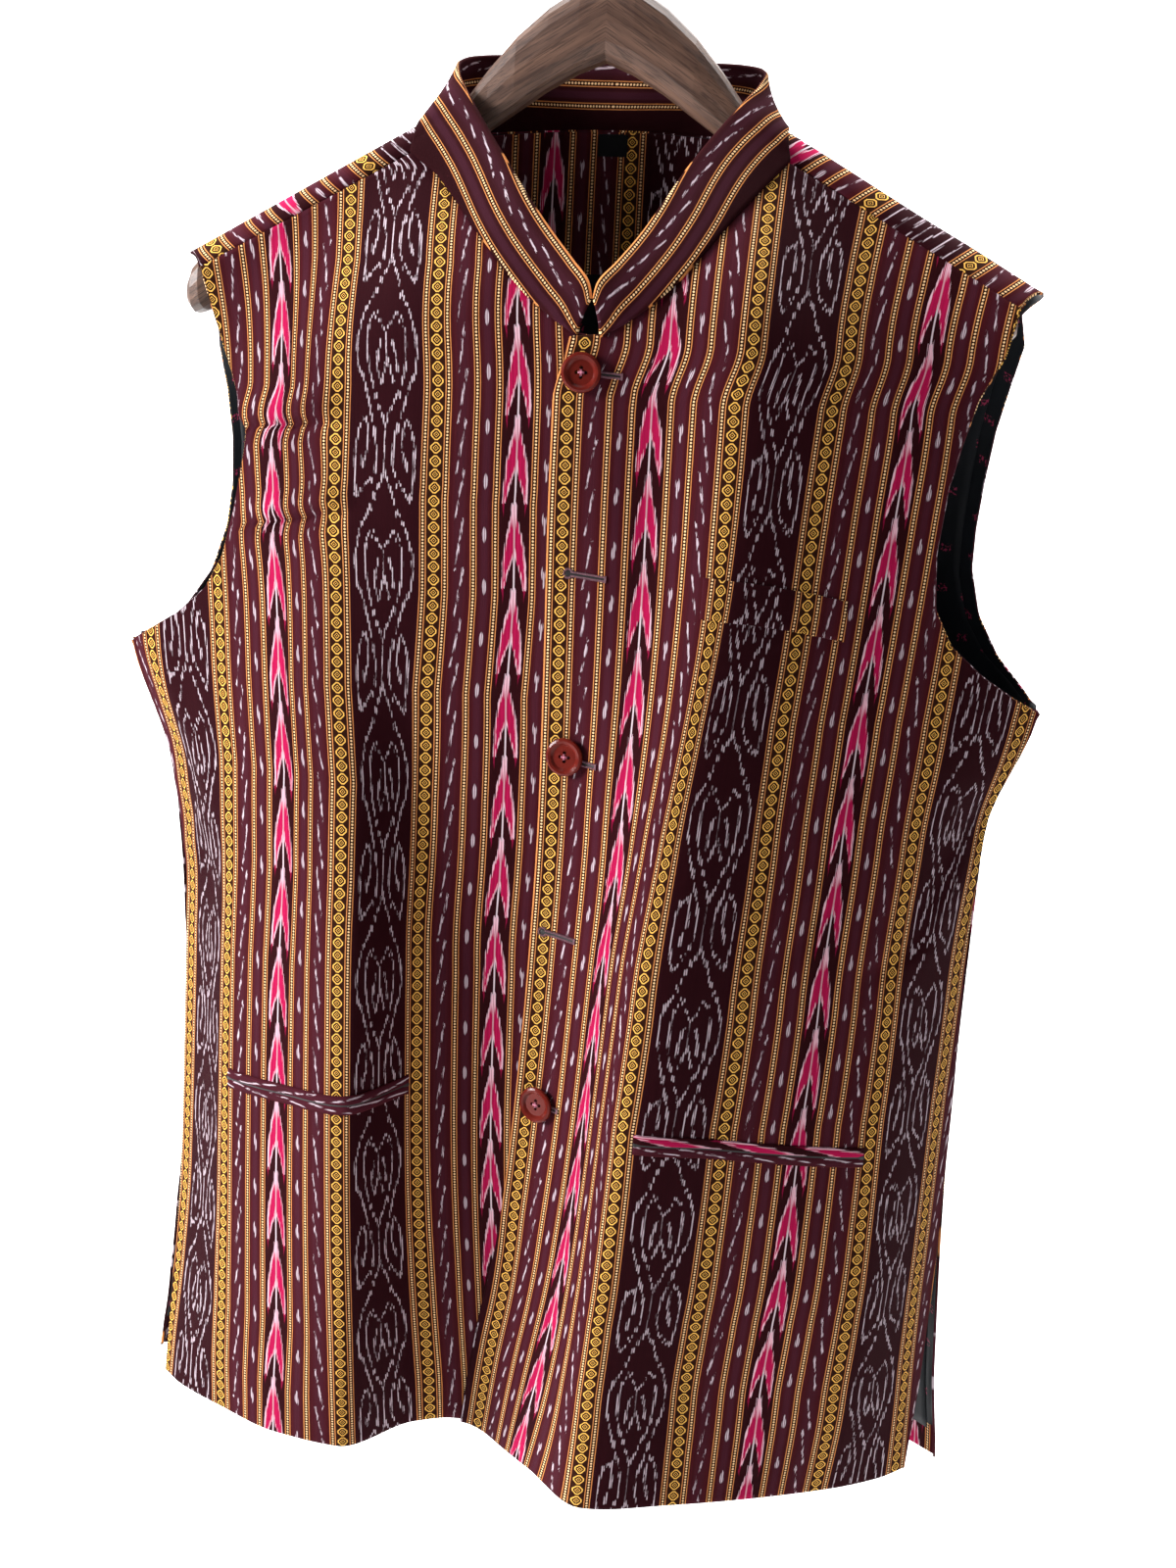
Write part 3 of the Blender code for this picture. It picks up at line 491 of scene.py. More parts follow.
def front_y(x, height):
    """y of the fronts' outer face along one level, for an array of x."""
    left, edge, fold, right, *outs = level_of(FRONT_LEVELS, height)
    xs = (left, left + 14, left * 0.8, left * 0.625, left * 0.45, left * 0.29,
          edge, lerp(edge, fold, 0.55), fold, fold + 48, right * 0.8, right - 14, right)
    out = curve_through(xs, outs, x)
    drop = ridge(x) - height
    rise = arch_half(x) * ARCH_RISE
    shoulder = arch_round(x, drop) - ARCH_CENTRE
    t = np.clip((drop - rise) / CHEST_REACH, 0, 1)
    return -lerp(shoulder, out, 0.5 * smooth(t) + 0.5 * (1 - (1 - t) ** 2))


def along_line(points, count):
    """Evenly spaced points on a chain of points."""
    points = np.asarray(points, float)
    steps = np.linalg.norm(np.diff(points, axis=0), axis=1)
    places = np.concatenate(([0], np.cumsum(steps)))
    goals = np.linspace(0, places[-1], count)
    return np.stack([np.interp(goals, places, points[:, k]) for k in range(points.shape[1])], axis=1)


def read_grid(grid, column, row):
    """Values of a grid at places between its columns and rows."""
    column = np.clip(column, 0, grid.shape[1] - 1.001)
    row = np.clip(row, 0, grid.shape[0] - 1.001)
    c, r = column.astype(int), row.astype(int)
    fc, fr = column - c, row - r
    return ((grid[r, c] * (1 - fc) + grid[r, c + 1] * fc) * (1 - fr)
            + (grid[r + 1, c] * (1 - fc) + grid[r + 1, c + 1] * fc) * fr)


class Field:
    """The fronts' face over x and height, with the length of cloth across and down to each place."""

    def __init__(self):
        self.xs = np.arange(-258, 258.5, 2)
        self.zs = np.arange(-666, 92, 3)
        self.smooth_y = np.array([front_y(self.xs, height) for height in self.zs])
        self.y = self.smooth_y - creased(*np.meshgrid(self.xs, self.zs), FRONT_CREASES)
        steps, falls = (np.diff(self.smooth_y, axis=axis) for axis in (1, 0))
        self.u = np.pad(np.cumsum(np.hypot(steps, 2), axis=1), ((0, 0), (1, 0)))
        self.v = np.pad(np.cumsum(np.hypot(falls, 3), axis=0), ((1, 0), (0, 0)))
        self.levels = np.array([level_of(FRONT_LEVELS, height)[:4] for height in self.zs])

    def at(self, name, x, z):
        columns, rows = (np.asarray(x, float) - self.xs[0]) / 2, (np.asarray(z, float) - self.zs[0]) / 3
        return read_grid(getattr(self, name), columns, rows)


def normals_of(points):
    """Outward directions of a grid of points, rows upward and columns to the wearer's left."""
    across = np.gradient(points, axis=1)
    upward = np.gradient(points, axis=0)
    out = np.cross(across, upward)
    return out / np.maximum(np.linalg.norm(out, axis=2, keepdims=True), 1e-9)


def cloth_piece(name, points, u, v, wall, outer_finish, inner_finish, inner_shift=0, turned_up=0):
    """A closed wall of cloth with a rounded edge over a grid of points, mapped by its own yarns.
    All in millimetres above the shoulder tips; u is across the cloth and v down it. The first rows may
    be a turned-up hem of the outer cloth."""
    rows, cols = u.shape
    half = rows * cols
    outer, facing = points.reshape(-1, 3), normals_of(points).reshape(-1, 3)
    grid = np.arange(half).reshape(rows, cols)
    edge = np.concatenate((grid[0], grid[1:, -1], grid[-1, -2::-1], grid[-2:0:-1, 0]))
    after = np.roll(edge, -1)
    away = np.cross(outer[after] - outer[np.roll(edge, 1)], facing[edge])
    away /= np.maximum(np.linalg.norm(away, axis=1, keepdims=True), 1e-9)
    middle = outer[edge] - facing[edge] * wall / 2 + away * wall * 0.4
    verts = np.concatenate((outer, outer - facing * wall, middle))
    verts[:, 2] -= SHOULDER_DROP
    quads = np.stack((grid[:-1, :-1], grid[:-1, 1:], grid[1:, 1:], grid[1:, :-1]), axis=2).reshape(-1, 4)
    rim = 2 * half + np.arange(len(edge))
    next_rim = np.roll(rim, -1)
    faces = np.concatenate((
        np.stack((quads, quads[:, ::-1] + half), axis=1).reshape(-1, 4),
        np.stack((after, edge, rim, next_rim, next_rim, rim, edge + half, after + half), axis=1)
        .reshape(-1, 4)))
    slots = np.zeros(len(faces), np.int32)
    slots[1:2 * len(quads):2] = np.repeat(np.arange(rows - 1) >= turned_up, cols - 1)
    mesh = bpy.data.meshes.new(name)
    mesh.from_pydata((verts * 0.001).tolist(), [], faces.tolist())
    mesh.materials.append(outer_finish)
    mesh.materials.append(inner_finish)
    mesh.polygons.foreach_set("material_index", slots)
    mesh.shade_smooth()
    flat = np.stack((u, v), axis=2).reshape(-1, 2) * 0.001
    inside = flat + np.stack((np.broadcast_to(inner_shift, u.shape).ravel(), np.zeros(half)), axis=1) * 0.001
    flat = np.concatenate((flat, inside, flat[edge]))
    which = np.empty(len(mesh.loops), dtype=np.int64)
    mesh.loops.foreach_get("vertex_index", which)
    mesh.uv_layers.new(name="cloth").data.foreach_set("uv", flat[which].astype(np.float32).ravel())
    piece = bpy.data.objects.new(name, mesh)
    bpy.context.scene.collection.objects.link(piece)
    return piece


def hand_over(piece, stands_for=None):
    """A new piece moves with the part and may replace a plain solid."""
    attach(piece, "root")
    if stands_for:
        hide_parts(stands_for)
    return piece


def satin(name, colour, motif):
    """Smooth lining with painted sheen, as cloudy patches of lighter colour, and a faint woven figure set in
    rows.
    """
    made, shader, across, down = new_cloth(name, 0.38, 0.12)
    # Painted sheen: a soft cloud lightens the satin's colour up to 2.2 times in broad patches; the same cloud
    # also lifts the surface a little.
    painted_sheen_and_relief = cloud((across * 0.04, down * 0.02), detail=3)
    base = dye(colour, tuple(c * 2.2 for c in colour), painted_sheen_and_relief)
    pitch = 26
    shifted = across + (down / pitch).floor() * (pitch / 2)
    dots = shifted.around(pitch).within(2.6, 0.6) * down.around(pitch).within(4.2, 0.6)
    fleck = cloud((across * 0.9, down * 0.7), detail=1).over(0.55, 0.08)
    feed(shader.inputs["Base Color"], dye(base, motif, dots * fleck * 0.9))
    raise_surface(shader, (across + down).wave(0.6) * 0.15 + painted_sheen_and_relief * 2, 0.0003, 0.5)
    return made


lining_cloth = satin("lining_satin", (0.006, 0.007, 0.009), (0.36, 0.03, 0.09))


front_field = Field()
GRID_ROWS, GRID_COLS = 250, 92
SHOULDER_TIP = {1: 218, -1: -207}
ROSETTES_FROM_EDGE = 7.5              # the left front's first rosette stripe, from the front edge
CREST_LINE = (                        # height, x of the rosette stripe along the right front's fold
    (-660, -99), (-500, -102), (-370, -103.5), (-316, -104), (-265, -106), (-216, -113), (-165, -117),
    (-116, -121), (-66, -122), (0, -124), (60, -131))
# Cloth taken up in folds beyond the plain form: height, then how much at the left front's fold, at the
# right front between its fold and the front edge, and outside its fold
TAKEN_UP = (
    (-660, -15, -2, 2), (-630, -10, -2, 2), (-590, -4, -1, 0), (-545, 2, 0, 0), (-490, 6.5, 2, 0),
    (-430, 10.5, 4, 0), (-370, 10, 6, -1), (-316, 11, 9, -4), (-265, 12, 11, -5.5), (-216, 12.5, 8, -5.5),
    (-165, 10, 3, -4), (-110, 7, 0, -5), (-66, 4, 0, -9), (0, 0.5, 0, -1), (60, 0, 0, 0))
MOTIF_DROP = {1: 4, -1: 8}
# Pinches under the arm, where the cloth is folded over itself: the fold's two ends, and how far the
# stripes jump sideways below it
PINCHES = ((-186, -90, -130, -84, 3.8), (-168, -139, -120, -130, 2.6))


def line_x(column, height):
    """x of a seam or edge at any height: 0 the left seam, 1 the front edge, 2 the fold, 3 the right seam."""
    return np.interp(height, front_field.zs, front_field.levels[:, column])


def edge_x(height):
    """The over front's edge, which curls towards the collar at its top."""
    return line_x(1, np.minimum(height, -60)) + 7 * smooth((height + 62) / 30)


def front_outline(side):
    heights = np.linspace(FRONT_HEM, -40, 60)
    inner = np.stack((edge_x(heights) + (0 if side > 0 else LAP_WIDTH), heights), axis=1)
    neck = [(centre + side * reach, height) for height, reach, centre in NECKLINE]
    start = edge_x(FRONT_NECK) if side > 0 else edge_x(FRONT_NECK) + LAP_WIDTH - 8
    neck[0] = (start, FRONT_NECK)
    seam_x = side * NECK_SEAM_X
    neck.append((seam_x, float(ridge(seam_x)) - SEAM_DROP))
    lower = int(GRID_ROWS * 0.72)
    inner = np.concatenate((along_line(inner, lower)[:-1], along_line(neck, GRID_ROWS - lower + 1)))
    column = 2 if side > 0 else 1
    seam = [(line_x(3 if side > 0 else 0, z), z) for z in np.linspace(FRONT_HEM, UNDERARM, 40)]
    armhole = [(row[column], row[0]) for row in reversed(FRONT_ARMHOLE)]
    tip = SHOULDER_TIP[side]
    armhole.append((tip, float(ridge(tip)) - SEAM_DROP))
    below = int(GRID_ROWS * 0.62)
    outer = np.concatenate((along_line(seam, below)[:-1], along_line(armhole, GRID_ROWS - below + 1)))
    return inner, outer


def front_shift(x, height):
    """The under front lies behind the upper one along the lap."""
    slope = (front_field.at("smooth_y", x + 3, height) - front_field.at("smooth_y", x - 3, height)) / 6
    return LAP_SHIFT * np.minimum(np.hypot(1, slope), 2.5) * smooth((x - line_x(1, height) + 55) / 45)


def front_face(x, z, side):
    """y of one front's outer face: the wearer's left for side 1, the right for side -1."""
    y = front_field.at("y", x, z)
    return y + front_shift(x, z) if side < 0 else y


def cloth_across(x, z, side):
    """Where a place lies across the cloth, counted from a band of ovals' left rosette stripe."""
    heights = [row[0] for row in TAKEN_UP]
    extra = np.interp(z, heights, [row[1 if side > 0 else 2] for row in TAKEN_UP])
    if side > 0:
        start = edge_x(z)
        known = -ROSETTES_FROM_EDGE - 4 * smooth((-500 - z) / 80) * smooth((start + 40 - x) / 30)
        before_fold = 36 * np.clip((-90 - z) / 250, 0, 1)
        slack = extra * smooth((x - line_x(2, z) + before_fold) / 36)
    else:
        start = np.interp(z, [row[0] for row in CREST_LINE], [row[1] for row in CREST_LINE])
        known = 2 * ROSETTE_LINE + 3 * STRIPE_REPEAT
        outer = np.interp(z, heights, [row[3] for row in TAKEN_UP])
        slack = extra * smooth((x - start - 6) / 34) + outer * smooth((start - 6 - x) / 30)
        for x0, z0, x1, z1, jump in PINCHES:
            below = lerp(z0, z1, (x - x0) / (x1 - x0)) - z
            caught = smooth((x - x0 + 30) / 30) * smooth((x1 + 12 - x) / 24)
            fading = np.exp(-(np.maximum(below, 0) / 20) ** 2)
            slack = slack + jump * caught * smooth(below / 3 + 0.5) * fading
    return front_field.at("u", x, z) - front_field.at("u", start, z) + known + slack


def cloth_down(x, z, side):
    return front_field.at("v", x, FRONT_NECK) - front_field.at("v", x, z) + MOTIF_DROP[side]


def run_on(points, at_seam, turn):
    """Two more columns past the last one, which turn back at a side seam and run on at an armhole."""
    last, before = points[:, -1], points[:, -2]
    for k in (1, 2):
        step = np.where(at_seam[:, None], (0, turn * k, 0), (last - before) * 0.15 * k)
        points = np.concatenate((points, (last + step)[:, None]), axis=1)
    return points


def make_front(name, side):
    inner, outer = front_outline(side)
    t = np.linspace(0, 1, GRID_COLS - 2)
    t = 0.6 * t + 0.4 * np.sin(t * math.pi / 2)
    x, z = (lerp(inner[:, k, None], outer[:, k, None], t) for k in (0, 1))
    points = np.stack((x, front_face(x, z, side), z), axis=2)
    points = run_on(points, outer[:, 1] <= UNDERARM, 1.9)
    u = cloth_across(x, z, side)
    u = np.concatenate((u, u[:, -1:] + np.array((1.9, 3.8)) * side), axis=1)
    v = np.pad(cloth_down(x, z, side), ((0, 0), (0, 2)), mode="edge")
    if side < 0:
        points, u, v = points[:, ::-1], u[:, ::-1], v[:, ::-1]
    return cloth_piece(name, points, u, v, WALL, ikat, lining_cloth)


left_front = hand_over(make_front("left_front_cloth", 1), "front_left")
right_front = hand_over(make_front("right_front_cloth", -1), "front_right")


# Back
# One cut of ikat cotton from hem to the forward shoulder seams, so its stripes run over the ridge of
# the shoulder. It carries the back neck edge that the collar is sewn to.
BACK_ROWS, BACK_COLS = 260, 190
SIDE_ROWS = int(BACK_ROWS * 0.58)     # up to the armhole
BACK_MIDDLE = 73.5                    # where the back's middle lies across the cloth
BACK_HEM, BACK_HEM_TILT = -655.5, 0.015
BACK_LEFT, BACK_LOW, BACK_STEP = -256, -664, 4
# height, left seam, right seam, then how far behind at nine places across
BACK_LEVELS = (
    (-60, -251, 251, 4, 12, 28, 44, 48, 46, 30, 12, 4),
    (-205, -251, 251, 4, 15, 34, 52, 53, 54, 34, 15, 4),
    (-280, -227, 229, 4, 20, 46, 58, 51, 60, 46, 20, 4),
    (-440, -218, 227, 4, 21, 50, 64, 46, 67, 50, 21, 4),
    (-600, -228, 233, 5, 20, 46, 64, 38, 69, 48, 20, 5),
    (-656, -235, 239, 6, 18, 42, 62, 34, 67, 45, 18, 6),
)
BACK_ARMHOLE = (            # depth below the ridge, x at the left, x at the right
    (30, -213, 224), (54, -211, 219), (80, -206, 214), (108, -203, 211), (135, -203, 209),
    (157, -206, 209), (178, -214, 215), (192, -228, 227), (199, -243, 242))
BACK_NECK = (               # place along the edge, distance from the centre, depth below the ridge
    (0.00, 97, -14.1), (0.11, 95.6, -8.5), (0.22, 94.6, -3.5), (0.33, 93.8, -0.5), (0.44, 93, 1.5),
    (0.55, 91, 3.5), (0.66, 84, 5.8), (0.77, 68, 7.8), (0.88, 40, 9.4), (1.00, 0, 10))
BACK_CREASES = (
    (-243, -225, -200, -300, 10, -3), (240, -225, 196, -305, 10, -3),
    (-228, -225, -186, -310, 8, 2.5), (226, -228, 184, -315, 8, 2.5),
    (-120, -20, -150, -130, 12, 2), (118, -18, 146, -125, 12, 2),
    (-90, -260, -104, -640, 14, 2), (60, -230, 74, -640, 15, 2.5),
    (-10, -300, 4, -650, 12, -2), (150, -340, 156, -640, 11, -2),
    (-165, -350, -170, -640, 11, -2),
)


def back_levels():
    """How far behind the back hangs, in squares from its lower left corner."""
    across = np.arange(BACK_LEFT, 257, BACK_STEP)
    rows = []
    for height in np.arange(BACK_LOW, 100, BACK_STEP):
        left, right, *outs = level_of(BACK_LEVELS, height)
        xs = (left, left + 14, left * 0.8, left * 0.48, -30, right * 0.32, right * 0.78, right - 14, right)
        rows.append(curve_through(xs, outs, across))
    return np.array(rows)


back_grid = back_levels()


def back_y(x, drop):
    """y of the back's outer face at depths below the ridge, for arrays of x and depth."""
    behind = read_grid(back_grid, (x - BACK_LEFT) / BACK_STEP, (ridge(x) - drop - BACK_LOW) / BACK_STEP)
    inner = np.clip(1 - (x / NECK_HALF_WIDTH) ** 2, 0, 1)
    shoulder = ARCH_CENTRE + arch_round(x, drop) * (1 + 1.9 * np.sqrt(inner))
    rise = arch_half(x) * ARCH_RISE
    return lerp(shoulder, behind, smooth((drop - rise) / CHEST_REACH))


def over_y(x, drop):
    return np.where(drop >= 0, back_y(x, np.maximum(drop, 0)), ARCH_CENTRE - arch_round(x, -drop))


def back_hem(x):
    return BACK_HEM - x * BACK_HEM_TILT


def back_side(side):
    line = [(level_of(BACK_LEVELS, z)[1 if side > 0 else 0], z)
            for z in np.linspace(back_hem(side * 235), UNDERARM, 40)]
    line = [(x, float(ridge(x)) - z) for x, z in line]
    armhole = [line[-1]] + [(row[2] if side > 0 else row[1], row[0]) for row in reversed(BACK_ARMHOLE)]
    above = int(BACK_ROWS * 0.28)
    over = BACK_ROWS - SIDE_ROWS - above + 2
    tip_x = SHOULDER_TIP[side]
    brow_x = 230 if side > 0 else -220
    arch = [armhole[-1]]
    for degrees in np.linspace(75, -68, 40):
        x = lerp(tip_x, brow_x, 0.5 + 0.5 * math.cos(math.radians((degrees - 12) * 1.9)))
        rise = float(arch_half(x)) * ARCH_RISE
        arch.append((x, math.copysign(rise * (1 - math.cos(math.radians(degrees))), degrees)))
    arch.append((tip_x, -SEAM_DROP + 0.5))
    return np.concatenate((along_line(line, SIDE_ROWS)[:-1], along_line(armhole, above)[:-1],
                           along_line(arch, over)))


def back_neck(t):
    side = np.where(t < 0.5, -1, 1)
    s = 1 - np.abs(2 * t - 1)
    places = [row[0] for row in BACK_NECK]
    reach, drop = (curve_through(places, [row[k] for row in BACK_NECK], s) for k in (1, 2))
    return side * reach, drop


def make_back():
    left, right = back_side(-1), back_side(1)
    columns = BACK_COLS - 4
    shoulder = int(columns * 0.22)
    neck_x, neck_drop = back_neck(np.linspace(0, 1, columns - 2 * shoulder))
    top_x = np.concatenate((np.linspace(SHOULDER_TIP[-1], -NECK_SEAM_X, shoulder, endpoint=False), neck_x,
                            np.linspace(NECK_SEAM_X, SHOULDER_TIP[1], shoulder + 1)[1:]))
    seam_drop = np.full(shoulder, -SEAM_DROP + 0.5)
    top_drop = np.concatenate((seam_drop, neck_drop, seam_drop))
    flat = np.linspace(0, 1, columns)
    across = 0.5 * flat + 0.5 * (0.5 - 0.5 * np.cos(math.pi * flat))
    top_across = (top_x - top_x[0]) / (top_x[-1] - top_x[0])
    sides = []
    for line in (left, right):
        bottom = float(ridge(line[0, 0])) - back_hem(line[0, 0])
        sides.append((bottom - line[:, 1:]) / (bottom - line[-1, 1]))
    share = lerp(sides[0], sides[1], flat)
    even = share.copy()
    for _ in range(60):
        even[1:-1] = (even[:-2] + 2 * even[1:-1] + even[2:]) / 4
    share = lerp(share, even, smooth(np.minimum(flat, 1 - flat) / 0.08))
    x = lerp(left[:, :1], right[:, :1], lerp(across, top_across, share ** 3))
    drop = lerp(ridge(x) - back_hem(x), top_drop, share)
    drop[:, 0], drop[:, -1] = left[:, 1], right[:, 1]
    z = ridge(x) - np.abs(drop)
    y = over_y(x, drop) + creased(x, z, BACK_CREASES) * smooth((drop - 25) / 40)
    points = np.stack((x, y, z), axis=2)
    at_seam = np.arange(BACK_ROWS) < SIDE_ROWS
    points = run_on(run_on(points, at_seam, -1.8)[:, ::-1], at_seam, -1.8)[:, ::-1]
    lengths = np.pad(np.cumsum(np.hypot(np.diff(x), np.diff(y)), axis=1), ((0, 0), (1, 0)))
    at_middle = np.array([[np.interp(0, *row)] for row in zip(x, lengths)])
    # Folded over the sloping ridge, the stripes lean towards the neck in front of it.
    lean = np.clip(x / 60, -1, 1) * 0.64 * (1.3 * np.clip(-drop, 0, 15) - 9)
    ridge_u = x * 1.0485 + lean * (1 - smooth(drop / 60))
    u = BACK_MIDDLE + lerp(ridge_u, lengths - at_middle, smooth((drop - 20) / 60))
    u = np.concatenate((u[:, :1] - (3.6, 1.8), u, u[:, -1:] + (1.8, 3.6)), axis=1)
    v = np.pad(drop, ((0, 0), (2, 2)), mode="edge")
    piece = cloth_piece("back_cloth", points[:, ::-1], u[:, ::-1], v[:, ::-1] + 30, WALL,
                        ikat, lining_cloth, turned_up=6)
    return hand_over(piece, "back"), points


back_cloth, back_points = make_back()


# Back lining, neck facing and label
# The back is lined with satin. A striped facing is sewn in below the collar at the back of the neck,
# and a plain woven label is stitched to the middle of its top edge.
def back_patch(xs, drops, inward):
    """Points inside the back: one column for each x, its depths below the ridge running up."""
    x = np.tile(xs, (drops.shape[0], 1))
    points = np.stack((x, over_y(x, drops), ridge(x) - np.abs(drops)), axis=2)
    return points + normals_of(points) * inward


lining_points = (back_points + normals_of(back_points) * (WALL + 0.5))[5:222:2, 4:-4:2]
lining = cloth_piece("back_lining_satin", lining_points, lining_points[:, :, 0], -lining_points[:, :, 2],
                     0.6, lining_cloth, lining_cloth)
hand_over(lining, "back_lining")

facing_x = np.linspace(-86, 86, 60)
facing_top = np.interp(np.abs(facing_x), (0, 40, 68, 84, 91), (10, 9.4, 7.8, 5.8, 3.5)) + 1
facing_drops = np.array([lerp(84, facing_top, r / 29) for r in range(30)])
facing = cloth_piece("neck_facing", back_patch(facing_x, facing_drops, WALL + 2),
                     np.tile(facing_x + BACK_MIDDLE, (30, 1)), facing_drops + 18, 0.9, ikat, lining_cloth)
hand_over(facing, "back_neck_facing")

tape, tape_shader, across, down = new_cloth("label_tape", 0.6)
picks = down.wave(0.25) * across.wave(0.5)
feed(tape_shader.inputs["Base Color"], dye((0.006, 0.006, 0.007), (0.016, 0.016, 0.018), picks * 0.5 + 0.5))
raise_surface(tape_shader, picks, 0.0001)
label_x = np.linspace(-7.8, 7.8, 13)
label_drops = np.array([np.full(13, drop) for drop in np.linspace(23, 12, 9)])
label = cloth_piece("label_cloth", back_patch(label_x, label_drops, WALL + 2.5),
                    np.tile(label_x, (9, 1)), label_drops, 0.5, tape, tape)
hand_over(label, "size_label")


# Collar
# A stand band of ikat cut along the stripes and folded over interfacing, sewn round the neck edge.
# Its two ends meet above the top button.
COLLAR_LEVELS = (           # place along the edge, distance from the centre line, height, how far behind
    (0.00, 0.8, -13, -61), (0.04, 2.5, -6, -60), (0.10, 11, 4, -54),
    (0.18, 22, 17, -46), (0.28, 35, 35, -37), (0.38, 47, 53, -26),
    (0.47, 60, 71, -15), (0.54, 71, 86, -5), (0.60, 77, 95, 4),
    (0.67, 79, 102, 13), (0.74, 76, 106, 22), (0.82, 60, 109, 33),
    (0.91, 33, 110, 40), (1.00, 0, 110.5, 43))
COLLAR_WALL = 2.2
collar_ikat = ikat_cloth("collar_ikat", plain_bands=True)


def neck_edge():
    halves = []
    for side in (-1, 1):
        line = []
        for height, reach, centre in NECKLINE[1:]:
            x = centre + side * reach
            line.append((x, float(front_face(x, height, side)), height))
        x = side * NECK_SEAM_X
        line.append((x, float(front_field.at("y", x, ridge(x) - SEAM_DROP)), float(ridge(x)) - SEAM_DROP))
        for t in np.linspace(0, 0.5, 21)[1:]:
            x, drop = back_neck(np.array(t if side < 0 else 1 - t))
            line.append((float(x), float(over_y(x, drop)), float(ridge(x) - abs(drop))))
        halves.append(line)
    return halves[0] + halves[1][-2::-1]


def make_collar():
    steps, rows = 300, 26
    seam = along_line(neck_edge(), steps)
    places = [row[0] for row in COLLAR_LEVELS]
    t = np.linspace(0, 1, steps)
    side = np.where(t < 0.5, -1, 1)
    s = 1 - np.abs(2 * t - 1)
    reach, height, behind = (curve_through(places, [row[k] for row in COLLAR_LEVELS], s) for k in (1, 2, 3))
    centre = lerp(9, 1, smooth(s / 0.5))
    top = np.stack((centre + side * reach, behind, height), axis=1)
    rise = np.linalg.norm(top - seam, axis=1)
    lengths = np.linalg.norm(np.diff(lerp(seam, top, 0.5), axis=0), axis=1)
    v = np.tile(np.concatenate(([0], np.cumsum(lengths))), (rows, 1))
    # The band swells by 0.8 mm halfway up, and its cloth is folded over a little further at the back.
    belly = np.stack((side * 0.8, np.where(s < 0.7, -0.8, 0.8), np.zeros(steps)), axis=1)
    k = (np.arange(rows) / (rows - 1))[:, None]
    points = lerp(seam, top, k[..., None]) + belly * 4 * k[..., None] * (1 - k[..., None])
    u = ROSETTE_LINE + lerp(37.7, 33, smooth((s - 0.2) / 0.3)) - (1 - k) * rise
    fold = 5 * smooth((s - 0.4) / 0.3)
    return cloth_piece("collar_band", points, u, v, COLLAR_WALL, collar_ikat, collar_ikat, fold)


collar = hand_over(make_collar(), "collar")


# Pockets
# Two jetted pockets: narrow folded strips cut across the stripes, sewn above and below a slit, with a
# near-black strip of painted shade laid in the slit.
def on_front(x, z, side, lift):
    """Points lying on a front, lifted square to it, for grids of x and height."""
    points = np.stack((x, front_face(x, z, side), z), axis=2)
    return points + normals_of(points) * np.asarray(lift)[..., None]


def strip_on_front(name, side, line, low, high, lift, swell, finish, u, v, count=110):
    """A folded strip of cloth along a line on a front, swelling a little along its middle."""
    rows = 11
    k = np.linspace(0, 1, rows)[:, None]
    x = np.tile(np.linspace(line[0][0], line[-1][0], count), (rows, 1))
    z = curve_through([a for a, _ in line], [b for _, b in line], x) + lerp(low, high, k)
    ends = np.minimum(np.linspace(0, count - 1, count), np.linspace(count - 1, 0, count)) / 3
    rise = lift + swell * np.sqrt(np.sin(math.pi * np.clip(k, 0.02, 0.98))) * np.clip(ends, 0, 1)[None, :]
    points = on_front(x, z, side, rise)
    flat_u = u(x, z) if callable(u) else np.tile(lerp(u[0], u[1], k), (1, count))
    flat_v = v(x, z) if callable(v) else v - (x - line[0][0])
    return cloth_piece(name, points, flat_u, flat_v, 0.5, finish, finish)


def own_place():
    return Yarn.tree.nodes.new("ShaderNodeTexCoord").outputs["Object"]


def mottled(name, dark, pale, scale, detail=2, **settings):
    """A material clouded with two colours."""
    made, shader = new_material(name, **settings)
    feed(shader.inputs["Base Color"], dye(dark, pale, cloud(own_place(), scale, detail)))
    return made


RIGHT_POCKET = ((-175, -447.5), (-136, -444.8), (-105, -442), (-88, -440), (-70, -437))
LEFT_POCKET = ((61, -436), (88, -438), (124, -442.4), (179.5, -449))
trims = {1: [], -1: []}
# Painted shade: a near-black cloth for the pocket and buttonhole slits, standing for the shade inside the
# openings.
painted_slit_shade = mottled("painted_shade_in_slits", (0.003, 0.002, 0.002), (0.010, 0.006, 0.007), 400)
for pocket, side, line in (("right", -1, RIGHT_POCKET), ("left", 1, LEFT_POCKET)):
    # The last numbers say where across and down the cloth each strip was cut.
    upper_u = (42.4, 48.3) if side > 0 else (73.5, 67.5)
    for edge, low, high, u, v in (("upper", 0.15, 5.5, upper_u, 24 * side),
                                  ("lower", -5.5, -0.15, (67, 73.5), 55 + 9 * side)):
        jet = "jet_%s_%s" % (pocket, edge)
        strip = strip_on_front(jet + "_cloth", side, line, low, high, 0.45, 0.75, ikat, u, v)
        trims[side].append(hand_over(strip, jet))
    # Painted shade: a near-black strip between the jets, where the opening lies in shade.
    slit_shade_strip = strip_on_front("slit_" + pocket, side, line, -0.8, 0.8, 0.75, 0, painted_slit_shade, (0, 1), 0)
    trims[side].append(hand_over(slit_shade_strip))


# Breast welt
# A folded band of the same cloth, cut to match the stripes it lies on and stitched down at its ends.
BREAST_WELT = ((74.5, -154.5), (97, -156), (117, -159), (146, -164.5))
welt = strip_on_front("welt_cloth", 1, BREAST_WELT, -10, 10, 0.7, 0.5, ikat,
                      lambda x, z: cloth_across(x, z, 1) - 2.2, lambda x, z: cloth_down(x, z, 1) + 31, 80)
trims[1].append(hand_over(welt, "breast_welt"))


